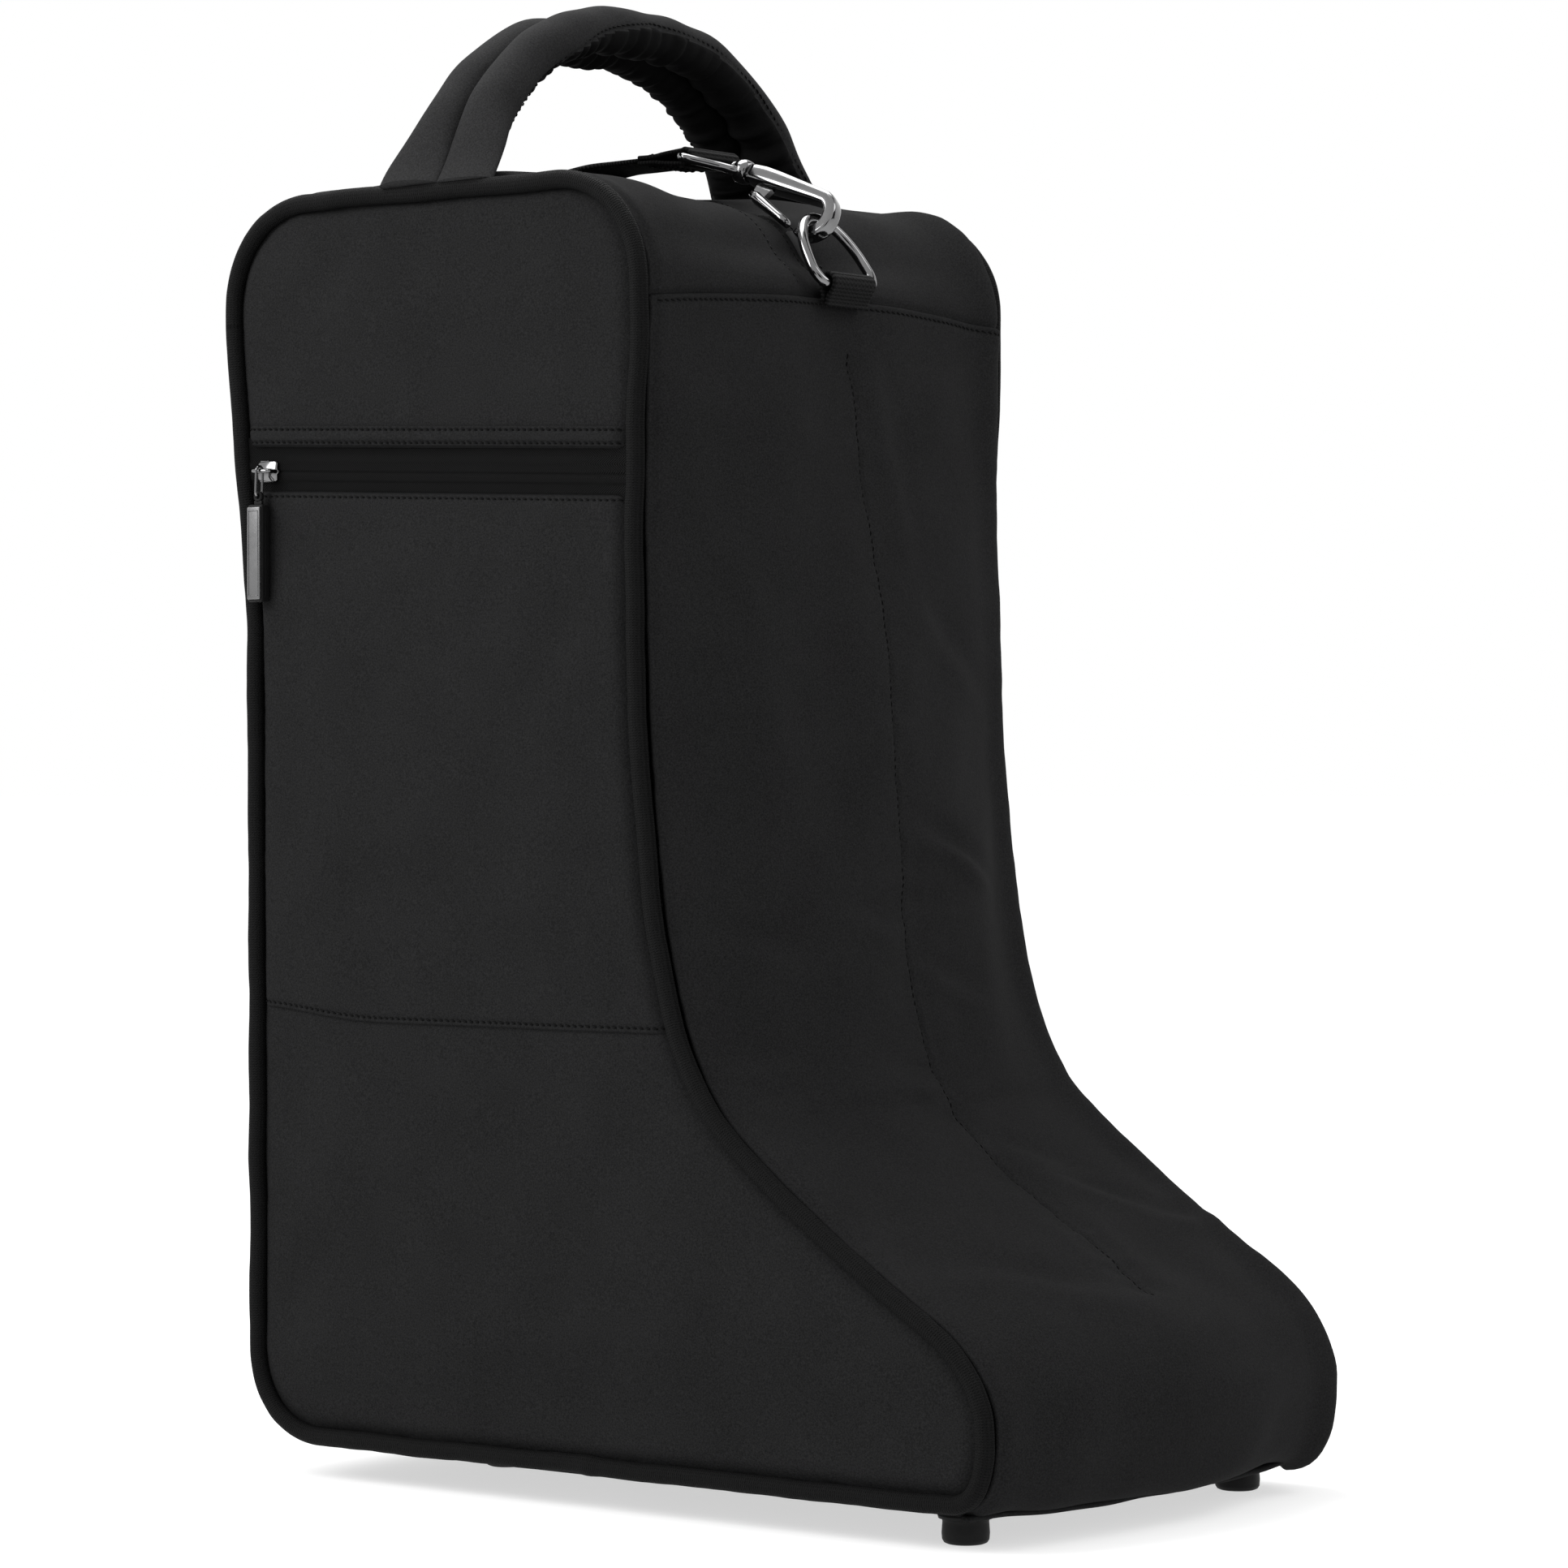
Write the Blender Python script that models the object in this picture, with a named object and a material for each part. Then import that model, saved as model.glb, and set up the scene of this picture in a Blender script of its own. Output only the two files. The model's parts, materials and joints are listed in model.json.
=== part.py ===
"""Tall-boot bag: a boot-shaped travel case that stands on four feet.

Frame: metres, +Z up, origin on the ground under the middle of the bag.
+X points to the toe, -Y is the pocket side. All sizes below are the real ones.
"""
import bpy
import bmesh
from math import atan2, cos, degrees, pi, radians, sin
from mathutils import Matrix, Vector
from mathutils.geometry import interpolate_bezier

# ---------------------------------------------------------------- driving dimensions
TOP_Z = 0.513                # top of the piping above the ground
BASE_Z = 0.013               # underside of the base panel, on its feet
CORNER_R = 0.045             # the two upper corners
REAR_X = -0.197              # rear edge at the upper corner
LEG_X = 0.024                # front edge of the leg at the upper corner
HEEL_X = -0.184              # rear edge at the heel
HEEL_R = 0.038
TOE_X = 0.186                # foremost point of the side outline
SEAM_Z = 0.462               # seams below the upper corners, front and rear

DENT_X = -0.045              # the top is slack from here to the front corner

PIPING_R = 0.0041
PIPING_Y = 0.1135            # centre of the piping on each side
GUSSET_Y = 0.1090            # half width of the gusset between the side panels
SKIN = 0.0025                # padded fabric with its lining
GAP = 0.0004                 # clearance between touching pieces
SEAM_GAP = 0.0006            # between two panels that meet edge to edge

LINING_INSET = 0.0045        # side linings sit inside the gusset
PANEL_INSET = 2 * PIPING_R + 0.0006

# pocket side: heights on the pocket zip, which drops a little towards the toe
ZIP_Z = 0.3985               # chain height at X = ZIP_MID_X
ZIP_MID_X = -0.080
ZIP_SLOPE = -0.040
ZIP_ABOVE = 0.0097           # chain up to the lower edge of the welt strip
ZIP_BELOW = 0.0078           # chain down to the folded top edge of the pocket
STRIP_H = 0.0092
CHAIN_GAP = 0.0011           # half the slot between the two coils
COIL_H = 0.0026
LOWER_SEAM_Z = 0.1825

# main zip in the rear gusset
DOOR_LOW_Z = 0.110
REAR_LINE_LOW = (-0.190, DOOR_LOW_Z)
REAR_LINE_TOP = (-0.2035, SEAM_Z)
TAPE_W = 0.016               # one tape of the main zip
DOOR_EDGE_Y = 0.0122         # fabric edge beside the main zip

# carrying handle across the top
HANDLE_X = -0.088
HANDLE_SKEW = radians(3.4)   # its far foot is sewn a little further back
HANDLE_AXIS_Z = 0.5285
HANDLE_RISE = 0.070          # roll centre above the top
ROLL_R = 0.0100
ROLL_END_R = 0.0062
HINGE_R = 0.0132             # the roll ends stay inside this radius about the axis

# shoulder strap and its hooks
WEB_W = 0.032
WEB_T = 0.0018
RING_R = 0.0021              # wire radius of the D-rings

# zip sliders
SLIDER_L = 0.0120
SLIDER_W = 0.0084
BRIDGE_W = 0.0066            # middle of the bridge above the tape
LINK_R = 0.00055
PULL_W = 0.0080
PULL_L = 0.0390
MAIN_PARK_Z = 0.097          # closed position of the main slider
POCKET_PARK_X = -0.1725

FOOT_R = 0.0090
FOOT_SPOTS = {
    "front_near_foot": (0.156, -0.090),
    "front_far_foot": (0.156, 0.090),
    "rear_near_foot": (-0.115, -0.036),
    "rear_far_foot": (-0.115, 0.036),
}


# ---------------------------------------------------------------- scene and materials
for stale in list(bpy.data.objects):
    bpy.data.objects.remove(stale)


def material(name, colour, roughness, metallic=0.0):
    mat = bpy.data.materials.new(name)
    mat.use_nodes = True
    shader = mat.node_tree.nodes["Principled BSDF"]
    shader.inputs["Base Color"].default_value = (*colour, 1.0)
    shader.inputs["Roughness"].default_value = roughness
    shader.inputs["Metallic"].default_value = metallic
    return mat


SHELL_FABRIC = material("shell_fabric", (0.020, 0.020, 0.021), 0.75)
LINING_FABRIC = material("lining_fabric", (0.055, 0.055, 0.060), 0.80)
PIPING_WEAVE = material("piping_weave", (0.010, 0.010, 0.011), 0.80)
WEBBING = material("webbing", (0.014, 0.014, 0.015), 0.80)
ZIP_TAPE = material("zip_tape", (0.012, 0.012, 0.013), 0.85)
ZIP_COIL = material("zip_coil", (0.016, 0.016, 0.017), 0.45)
GUNMETAL = material("gunmetal", (0.33, 0.33, 0.34), 0.22, 1.0)
PULL_METAL = material("pull_metal", (0.42, 0.42, 0.43), 0.35, 1.0)
PULL_RUBBER = material("pull_rubber", (0.016, 0.016, 0.017), 0.60)
FOOT_RUBBER = material("foot_rubber", (0.012, 0.012, 0.013), 0.50)
BOARD = material("board", (0.030, 0.028, 0.026), 0.70)


# ---------------------------------------------------------------- helpers
def finish(name, bm, mat, smooth_angle=35.0):
    """Turn a bmesh into a named object with outward faces."""
    bmesh.ops.recalc_face_normals(bm, faces=bm.faces)
    mesh = bpy.data.meshes.new(name)
    bm.to_mesh(mesh)
    bm.free()
    mesh.materials.append(mat)
    mesh.shade_smooth()
    mesh.set_sharp_from_angle(angle=radians(smooth_angle))
    obj = bpy.data.objects.new(name, mesh)
    bpy.context.scene.collection.objects.link(obj)
    return obj


def pivot(name, place, axis_x=None):
    """An empty on a joint's axis; moving pieces hang from it."""
    empty = bpy.data.objects.new(name, None)
    empty.empty_display_size = 0.02
    empty.location = place
    if axis_x is not None:
        empty.rotation_euler = axis_x.to_track_quat("X", "Z").to_euler()
    bpy.context.scene.collection.objects.link(empty)
    bpy.context.view_layer.update()
    return empty


def hang(obj, empty):
    """Parent without moving, so the piece turns about the empty."""
    obj.parent = empty
    obj.matrix_parent_inverse = empty.matrix_world.inverted()
    return obj


def prism(name, outline, lift, mat):
    """Extrude a closed outline of points along the vector lift."""
    bm = bmesh.new()
    face = bm.faces.new([bm.verts.new(p) for p in outline])
    grown = bmesh.ops.extrude_face_region(bm, geom=[face])
    moved = [v for v in grown["geom"] if isinstance(v, bmesh.types.BMVert)]
    bmesh.ops.translate(bm, vec=lift, verts=moved)
    return finish(name, bm, mat)


def side_plate(name, outline_xz, y_from, y_to, mat):
    """A flat panel in the XZ plane between two Y values."""
    points = [Vector((x, y_from, z)) for x, z in outline_xz]
    return prism(name, points, Vector((0.0, y_to - y_from, 0.0)), mat)


def tube(name, points, radius, mat, cyclic=False, sides=2):
    """A round bar along the points, with filled ends unless it is a ring."""
    curve = bpy.data.curves.new(name, "CURVE")
    curve.dimensions = "3D"
    curve.bevel_depth = radius
    curve.bevel_resolution = sides
    curve.use_fill_caps = not cyclic
    spline = curve.splines.new("POLY")
    spline.points.add(len(points) - 1)
    for spot, point in zip(spline.points, points):
        spot.co = (*point, 1.0)
    spline.use_cyclic_u = cyclic
    spline.use_smooth = True
    curve.materials.append(mat)
    obj = bpy.data.objects.new(name, curve)
    bpy.context.scene.collection.objects.link(obj)
    return obj


def loft(name, rings, mat, smooth_angle=50.0):
    """Skin a row of equal rings of points and close both ends."""
    bm = bmesh.new()
    rows = [[bm.verts.new(p) for p in ring] for ring in rings]
    count = len(rows[0])
    for a, b in zip(rows, rows[1:]):
        for i in range(count):
            j = (i + 1) % count
            bm.faces.new((a[i], a[j], b[j], b[i]))
    bm.faces.new(rows[0])
    bm.faces.new(rows[-1])
    return finish(name, bm, mat, smooth_angle)


def arc(centre, radius, start, end, count):
    """Points on an arc in the XZ plane, angles in degrees from +X towards +Z."""
    turn = [radians(start + (end - start) * i / count) for i in range(count + 1)]
    return [(centre[0] + radius * cos(a), centre[1] + radius * sin(a)) for a in turn]


def curve_xz(p0, h0, h1, p1, count):
    """A cubic stretch of the outline, without its first point."""
    ends = [Vector((x, z, 0.0)) for x, z in (p0, h0, h1, p1)]
    points = interpolate_bezier(ends[0], ends[1], ends[2], ends[3], count + 1)
    return [(p.x, p.y) for p in points[1:]]


def mix(a, b, t):
    return a + (b - a) * t


def ease(t):
    """Smooth step from 0 to 1."""
    t = min(1.0, max(0.0, t))
    return t * t * (3.0 - 2.0 * t)


# ---------------------------------------------------------------- the boot-shaped outline
def outline_parts():
    """The side outline as five named runs, clockwise seen from the pocket side."""
    rear_centre = (REAR_X + CORNER_R, TOP_Z - CORNER_R)
    front_centre = (LEG_X - CORNER_R, TOP_Z - CORNER_R)
    top = [(REAR_X, SEAM_Z)] + arc(rear_centre, CORNER_R, 180, 90, 6)
    for t in (0.25, 0.5, 0.72, 0.82, 0.91):
        top.append((mix(rear_centre[0], front_centre[0], t), TOP_Z))
    top += arc(front_centre, CORNER_R, 90, 0, 8) + [(LEG_X, SEAM_Z)]

    front = [(LEG_X, SEAM_Z)]
    front += curve_xz(front[-1], (0.024, 0.430), (0.0205, 0.400), (0.022, 0.350), 5)
    front += curve_xz(front[-1], (0.023, 0.270), (0.030, 0.186), (0.060, 0.154), 10)
    front += curve_xz(front[-1], (0.078, 0.136), (0.118, 0.108), (0.150, 0.089), 6)
    front += curve_xz(front[-1], (0.172, 0.077), (0.187, 0.062), (TOE_X, 0.042), 5)
    front += curve_xz(front[-1], (TOE_X, 0.024), (0.180, 0.0140), (0.168, 0.0132), 4)

    heel = (HEEL_X + HEEL_R, BASE_Z + HEEL_R)
    base = [front[-1], (mix(0.168, heel[0], 0.5), BASE_Z), (heel[0], BASE_Z)]
    low = arc(heel, HEEL_R, 270, 180, 6) + [(HEEL_X, DOOR_LOW_Z)]
    rear = [(HEEL_X, DOOR_LOW_Z), (-0.1842, 0.180), (-0.1846, 0.250), (-0.185, 0.320)]
    rear += curve_xz(rear[-1], (-0.1855, 0.375), (-0.195, 0.420), (REAR_X, SEAM_Z), 6)
    return {"top": top, "front": front, "base": base, "low": low, "rear": rear}


RUNS = outline_parts()
RUNS["top_middle"] = RUNS["top"][7:14]
LOOP = []
for run_name in ("top", "front", "base", "low", "rear"):
    LOOP += RUNS[run_name][:-1]


def outward(points, i, closed):
    """Outward unit normal of the outline at point i."""
    last = len(points) - 1
    before = points[i - 1] if closed or i > 0 else points[0]
    after = points[(i + 1) % len(points)] if closed or i < last else points[last]
    step = Vector((after[0] - before[0], after[1] - before[1])).normalized()
    return Vector((-step.y, step.x))


def inset(amount):
    """The whole outline moved inwards."""
    moved = []
    for i, (x, z) in enumerate(LOOP):
        n = outward(LOOP, i, True)
        moved.append((x - n.x * amount, z - n.y * amount))
    return moved


def cut_below(outline, height_at):
    """Keep the part of an outline that lies under the line z = height_at(x)."""
    kept = []
    for (x0, z0), (x1, z1) in zip(outline, outline[1:] + outline[:1]):
        d0 = height_at(x0) - z0
        d1 = height_at(x1) - z1
        if d0 >= 0.0:
            kept.append((x0, z0))
        if d0 * d1 < 0.0:
            t = d0 / (d0 - d1)
            kept.append((mix(x0, x1, t), mix(z0, z1, t)))
    return kept


def band(outline, low_at, high_at):
    """The part of an outline between two lines."""
    below = cut_below(outline, high_at)
    mirrored = [(x, -z) for x, z in below]
    kept = cut_below(mirrored, lambda x: -low_at(x))
    return [(x, -z) for x, z in kept]


# ---------------------------------------------------------------- gusset panels
def swell(run, t, x, z, n):
    """How far the stuffed fabric stands out at mid width, as an (x, z) vector."""
    if run == "rear":
        line = mix(REAR_LINE_LOW[0], REAR_LINE_TOP[0], (z - DOOR_LOW_Z) / (SEAM_Z - DOOR_LOW_Z))
        return Vector((line - x, 0.0))
    if run == "low":
        return Vector((REAR_LINE_LOW[0] - HEEL_X, 0.0)) * t
    if run == "front":
        belly = 0.003 + 0.026 * sin(pi * min(1.0, 1.3 * t)) if t < 0.6 else 0.0
        return Vector((max(belly, 0.016), 0.0)) if t > 0.2 else Vector((belly, 0.0))
    if x > DENT_X:                       # slack under the hook, full again at the seam
        down = degrees(atan2(z - TOP_Z + CORNER_R, x - LEG_X + CORNER_R))
        return n * (0.003 - 0.0108 * ease(down / 28) + 0.0078 * ease((down - 84) / 34))
    rise = (x - REAR_X) / (DENT_X - REAR_X)
    return n * (0.0040 * sin(pi * rise)) + Vector((REAR_LINE_TOP[0] - REAR_X, 0.0)) * (1.0 - rise) ** 8


def run_lengths(points):
    """Distance along the run at each point, from 0 to 1."""
    steps = [0.0]
    for a, b in zip(points, points[1:]):
        steps.append(steps[-1] + (Vector(b) - Vector(a)).length)
    return [s / steps[-1] for s in steps]


def gusset_panel(name, run, y_from, y_to, across, mat, trim=(SEAM_GAP / 2, SEAM_GAP / 2), depth=0.0,
                 thick=SKIN):
    """A padded panel that follows one run of the outline, from y_from to y_to."""
    points = RUNS[run]
    along = run_lengths(points)
    outer_rows = []
    for i, (x, z) in enumerate(points):
        n = outward(points, i, False)
        out = swell(run, along[i], x, z, n)
        row = []
        for k in range(across + 1):
            y = mix(y_from, y_to, k / across)
            bulge = 1.0 - (y / PIPING_Y) ** 2
            row.append(Vector((x + out.x * bulge, y, z + out.y * bulge)))
        outer_rows.append((row, Vector((n.x, 0.0, n.y))))
    for end, step, amount in ((0, 1, trim[0]), (-1, -2, trim[1])):
        row, n = outer_rows[end]
        neighbour = outer_rows[step][0]
        outer_rows[end] = ([p + (q - p).normalized() * amount for p, q in zip(row, neighbour)], n)
    bm = bmesh.new()
    outer = [[bm.verts.new(p - n * depth) for p in row] for row, n in outer_rows]
    inner = [[bm.verts.new(p - n * (depth + thick)) for p in row] for row, n in outer_rows]
    rows = len(outer)
    for grid in (outer, inner):
        for i in range(rows - 1):
            for k in range(across):
                bm.faces.new((grid[i][k], grid[i][k + 1], grid[i + 1][k + 1], grid[i + 1][k]))
    for i in range(rows - 1):
        for k in (0, across):
            bm.faces.new((outer[i][k], outer[i + 1][k], inner[i + 1][k], inner[i][k]))
    for k in range(across):
        for i in (0, rows - 1):
            bm.faces.new((outer[i][k], outer[i][k + 1], inner[i][k + 1], inner[i][k]))
    return finish(name, bm, mat)


gusset_panel("top_gusset", "top", -GUSSET_Y, GUSSET_Y, 8, SHELL_FABRIC)
gusset_panel("front_gusset", "front", -GUSSET_Y, GUSSET_Y, 8, SHELL_FABRIC)
gusset_panel("top_reinforcement", "top_middle", -0.0260, 0.0080, 4, WEBBING, (0.004, 0.004), SKIN + 2 * GAP,
             0.0013)
heel_panel = gusset_panel("rear_lower_panel", "low", -GUSSET_Y, GUSSET_Y, 6, SHELL_FABRIC,
                          (0.0012, SEAM_GAP))


def base_outline(inset_y, back, front_short):
    """Plan of the base: straight sides, front edge bowed with the stuffed toe."""
    toe = RUNS["front"][-1][0]
    points = [Vector((back, -inset_y, 0.0))]
    for k in range(9):
        y = mix(-inset_y, inset_y, k / 8)
        bow = 0.016 * (1.0 - (y / PIPING_Y) ** 2)
        points.append(Vector((toe + bow - front_short, y, 0.0)))
    points.append(Vector((back, inset_y, 0.0)))
    return points


HEEL_FLAT_X = HEEL_X + HEEL_R
prism("base_panel", [p + Vector((0, 0, BASE_Z)) for p in
      base_outline(GUSSET_Y, HEEL_FLAT_X + SEAM_GAP, SEAM_GAP)], Vector((0, 0, SKIN)), SHELL_FABRIC)
BOARD_Z = BASE_Z + SKIN + GAP
prism("base_board", [p + Vector((0, 0, BOARD_Z)) for p in
      base_outline(GUSSET_Y - 0.006, HEEL_FLAT_X + 0.004, 0.014)], Vector((0, 0, 0.0020)), BOARD)


# ---------------------------------------------------------------- side panels
def zip_z(x):
    return ZIP_Z + ZIP_SLOPE * (x - ZIP_MID_X)


def zip_line(offset):
    return lambda x: zip_z(x) + offset


def level(height):
    return lambda x: height


FACE = inset(PANEL_INSET)
POCKET_OUT = -0.1172         # outer face of the pocket front and of the welt strip
POCKET_IN = -0.1152
PANEL_OUT = -0.1148          # outer face of the panels behind them
PANEL_IN = -0.1094
TAPE_OUT = -0.1136
TAPE_IN = -0.1126
COIL_IN = -0.1106

side_plate("near_lining", inset(LINING_INSET), -0.1088, -0.1070, LINING_FABRIC)
side_plate("far_lining", inset(LINING_INSET), 0.1088, 0.1070, LINING_FABRIC)
side_plate("far_side_panel", FACE, 0.1094, 0.1148, SHELL_FABRIC)

strip_low = zip_line(ZIP_ABOVE)
strip_high = zip_line(ZIP_ABOVE + STRIP_H)
panel_low = zip_line(ZIP_ABOVE + 0.60 * STRIP_H)
tape_top = zip_line(ZIP_ABOVE + 0.50 * STRIP_H)
pocket_top = zip_line(-ZIP_BELOW)
tape_low = zip_line(-ZIP_BELOW - 0.006)
side_plate("near_upper_panel", band(FACE, panel_low, level(1.0)), PANEL_IN, PANEL_OUT, SHELL_FABRIC)
side_plate("pocket_welt_strip", band(FACE, strip_low, strip_high), POCKET_IN, POCKET_OUT, SHELL_FABRIC)
side_plate("pocket_front", band(FACE, level(LOWER_SEAM_Z), pocket_top), POCKET_IN, POCKET_OUT, SHELL_FABRIC)
side_plate("near_lower_panel", band(FACE, level(0.0), level(LOWER_SEAM_Z + 0.010)), PANEL_IN, PANEL_OUT,
           SHELL_FABRIC)
side_plate("pocket_zip_tape_upper", band(FACE, zip_line(CHAIN_GAP), tape_top), TAPE_IN, TAPE_OUT, ZIP_TAPE)
side_plate("pocket_zip_tape_lower", band(FACE, tape_low, zip_line(-CHAIN_GAP)), TAPE_IN, TAPE_OUT, ZIP_TAPE)
side_plate("pocket_coil_upper", band(FACE, zip_line(CHAIN_GAP), zip_line(CHAIN_GAP + COIL_H)),
           COIL_IN, TAPE_IN + GAP, ZIP_COIL)
side_plate("pocket_coil_lower", band(FACE, zip_line(-CHAIN_GAP - COIL_H), zip_line(-CHAIN_GAP)),
           COIL_IN, TAPE_IN + GAP, ZIP_COIL)

PIPING_LINE = inset(PIPING_R)
for side, y in (("near", -PIPING_Y), ("far", PIPING_Y)):
    tube(f"{side}_piping", [(x, y, z) for x, z in PIPING_LINE], PIPING_R, PIPING_WEAVE, cyclic=True)

# ---------------------------------------------------------------- divider between the boots
DIVIDER = []
for i, (x, z) in enumerate(LOOP):
    DIVIDER.append((max(x, -0.165), z))
shrunk = []
for i, (x, z) in enumerate(DIVIDER):
    n = outward(LOOP, i, True)
    slack = 0.0135 if z > 0.40 else 0.0042
    shrunk.append((x - n.x * slack, max(z - n.y * slack, BOARD_Z + 0.0026)))
side_plate("divider", shrunk, -0.0015, 0.0015, LINING_FABRIC)


# ---------------------------------------------------------------- rear doors and main zip
LINE_LOW = Vector((REAR_LINE_LOW[0], 0.0, REAR_LINE_LOW[1]))
LINE_TOP = Vector((REAR_LINE_TOP[0], 0.0, REAR_LINE_TOP[1]))
LINE_UP = (LINE_TOP - LINE_LOW).normalized()


def on_line(z, depth):
    """A point of the rear zip line at height z, depth metres inside the bag."""
    t = (z - LINE_LOW.z) / (LINE_TOP.z - LINE_LOW.z)
    return (mix(LINE_LOW.x, LINE_TOP.x, t) + depth, z)


def line_bar(name, z_low, z_high, depth, thick, y_from, y_to, mat):
    """A flat bar along the rear zip line."""
    corners = [on_line(z_low, depth), on_line(z_high, depth),
               on_line(z_high, depth + thick), on_line(z_low, depth + thick)]
    return side_plate(name, corners, y_from, y_to, mat)


TAPE_DEPTH = SKIN + 0.0007
COIL_DEPTH = TAPE_DEPTH + 0.0010 + GAP
DOOR_TOP_Z = SEAM_Z - 0.0010
HINGE_LOW = Vector((HEEL_X, 0.0, DOOR_LOW_Z))
HINGE_UP = (Vector((REAR_X, 0.0, SEAM_Z)) - HINGE_LOW).normalized()
for side, sign in (("near", -1.0), ("far", 1.0)):
    hinge = pivot(f"{side}_door_hinge", HINGE_LOW + Vector((0.0, sign * (GUSSET_Y - 0.0005), 0.0)))
    pieces = [
        gusset_panel(f"{side}_rear_door", "rear", sign * (GUSSET_Y - 0.0005), sign * DOOR_EDGE_Y, 4,
                     SHELL_FABRIC, (0.0012, 0.0010)),
        line_bar(f"{side}_main_tape", DOOR_LOW_Z + 0.0012, DOOR_TOP_Z - 0.001, TAPE_DEPTH, 0.0010,
                 sign * CHAIN_GAP, sign * TAPE_W, ZIP_TAPE),
        line_bar(f"{side}_main_coil", DOOR_LOW_Z + 0.0012, DOOR_TOP_Z - 0.001, COIL_DEPTH, 0.0018,
                 sign * CHAIN_GAP, sign * (CHAIN_GAP + 0.0032), ZIP_COIL),
    ]
    for piece in pieces:
        hang(piece, hinge)

# ---------------------------------------------------------------- solids cut and joined with Boolean
def combine(obj, other, operation):
    """Cut other out of obj, or join it on; other becomes a hidden guide."""
    step = obj.modifiers.new(operation.lower(), "BOOLEAN")
    step.operation = operation
    step.solver = "EXACT"
    step.object = other
    other.hide_render = True
    other.display_type = "WIRE"
    return obj


def block(name, frame, low, high, mat):
    """A box between two corners given in a local frame."""
    bm = bmesh.new()
    bmesh.ops.create_cube(bm, size=1.0)
    size = Vector(high) - Vector(low)
    middle = (Vector(high) + Vector(low)) / 2
    place = frame @ Matrix.Translation(middle) @ Matrix.Diagonal((*size, 1.0))
    bmesh.ops.transform(bm, matrix=place, verts=bm.verts)
    return finish(name, bm, mat)


def rod(name, frame, start, end, radius, mat, sides=16):
    """A round bar between two points of a local frame."""
    a = frame @ Vector(start)
    b = frame @ Vector(end)
    bm = bmesh.new()
    bmesh.ops.create_cone(bm, cap_ends=True, segments=sides, radius1=radius, radius2=radius,
                          depth=(b - a).length)
    turn = (b - a).to_track_quat("Z", "Y").to_matrix().to_4x4()
    bmesh.ops.transform(bm, matrix=Matrix.Translation((a + b) / 2) @ turn, verts=bm.verts)
    return finish(name, bm, mat)


def axes_frame(origin, u, v):
    """Local frame with u and v as its first two axes."""
    u = Vector(u).normalized()
    w = u.cross(Vector(v)).normalized()
    v = w.cross(u)
    frame = Matrix((u, v, w)).transposed().to_4x4()
    frame.translation = origin
    return frame


def planar_ring(name, points, normal, radius, mat, sides=8):
    """A closed round-wire loop that lies in one plane, as a mesh."""
    bm = bmesh.new()
    rows = []
    for i, centre in enumerate(points):
        along = (points[(i + 1) % len(points)] - points[i - 1]).normalized()
        side = normal.cross(along).normalized()
        turns = [2 * pi * k / sides for k in range(sides)]
        rows.append([bm.verts.new(centre + (normal * cos(a) + side * sin(a)) * radius) for a in turns])
    for a, b in zip(rows, rows[1:] + rows[:1]):
        for i in range(sides):
            j = (i + 1) % sides
            bm.faces.new((a[i], a[j], b[j], b[i]))
    return finish(name, bm, mat, 60.0)


def folded_web(name, frame, length, wrap_r, half_w, mat):
    """Webbing folded round a bar at the frame's origin, its two tails along +u."""
    side = wrap_r + WEB_T / 2
    path = [(length, 0.0011), (length * 0.45, side * 0.85)]
    path += [(side * cos(radians(a)), side * sin(radians(a))) for a in range(75, 286, 30)]
    path += [(length * 0.45, -side * 0.85), (length, -0.0011)]
    outer, inner = [], []
    for i, (a, b) in enumerate(path):
        before = Vector(path[max(i - 1, 0)])
        after = Vector(path[min(i + 1, len(path) - 1)])
        step = (after - before).normalized()
        n = Vector((-step.y, step.x)) * (WEB_T / 2)
        outer.append((a - n.x, b - n.y))
        inner.append((a + n.x, b + n.y))
    ring = [frame @ Vector((a, b, -half_w)) for a, b in outer + inner[::-1]]
    lift = frame.to_3x3() @ Vector((0.0, 0.0, 2 * half_w))
    return prism(name, ring, lift, mat)


# ---------------------------------------------------------------- D-ring, swivel hook: local builders
RING_HALF = 0.0180
RING_DEPTH = 0.0316
HOOK_BOWL_U = 0.0640         # from the eye's bar to the ring in the hook's bowl
BOWL_DROP = 0.0095
BOWL_R = 0.0078              # mid line of the bowl
GATE_PIN = (0.0335, -0.0092)


def d_ring(name, frame, mat):
    """Ring with its bar on the frame's w axis and its bow towards +u."""
    points = [(0.0, w) for w in (-RING_HALF + 0.0035, -0.006, 0.006, RING_HALF - 0.0035)]
    for k in range(13):
        a = pi / 2 - pi * k / 12
        points.append((0.0045 + (RING_DEPTH - 0.0045) * cos(a), RING_HALF * sin(a)))
    return tube(name, [frame @ Vector((u, 0.0, w)) for u, w in points], RING_R, mat, cyclic=True)


def swivel_eye(name, frame, mat):
    """Flat loop that holds the webbing, with the collar that the hook turns in."""
    half = [(0.0, 0.0), (0.0, 0.0170), (0.0016, 0.0190), (0.0054, 0.0178), (0.0125, 0.0092), (0.0190, 0.0040)]
    loop = half + [(u, -w) for u, w in half[:0:-1]]
    points = [frame @ Vector((u, 0.0, w)) for u, w in loop]
    return planar_ring(name, points, frame.to_3x3() @ Vector((0, 1, 0)), 0.0018, mat)


def swivel_collar(name, frame, mat):
    collar = rod(name, frame, (0.0166, 0, 0), (0.0225, 0, 0), 0.0048, mat, 20)
    bore = rod(name + "_bore", frame, (0.0150, 0, 0), (0.0240, 0, 0), 0.0022, mat)
    return collar, bore


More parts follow.
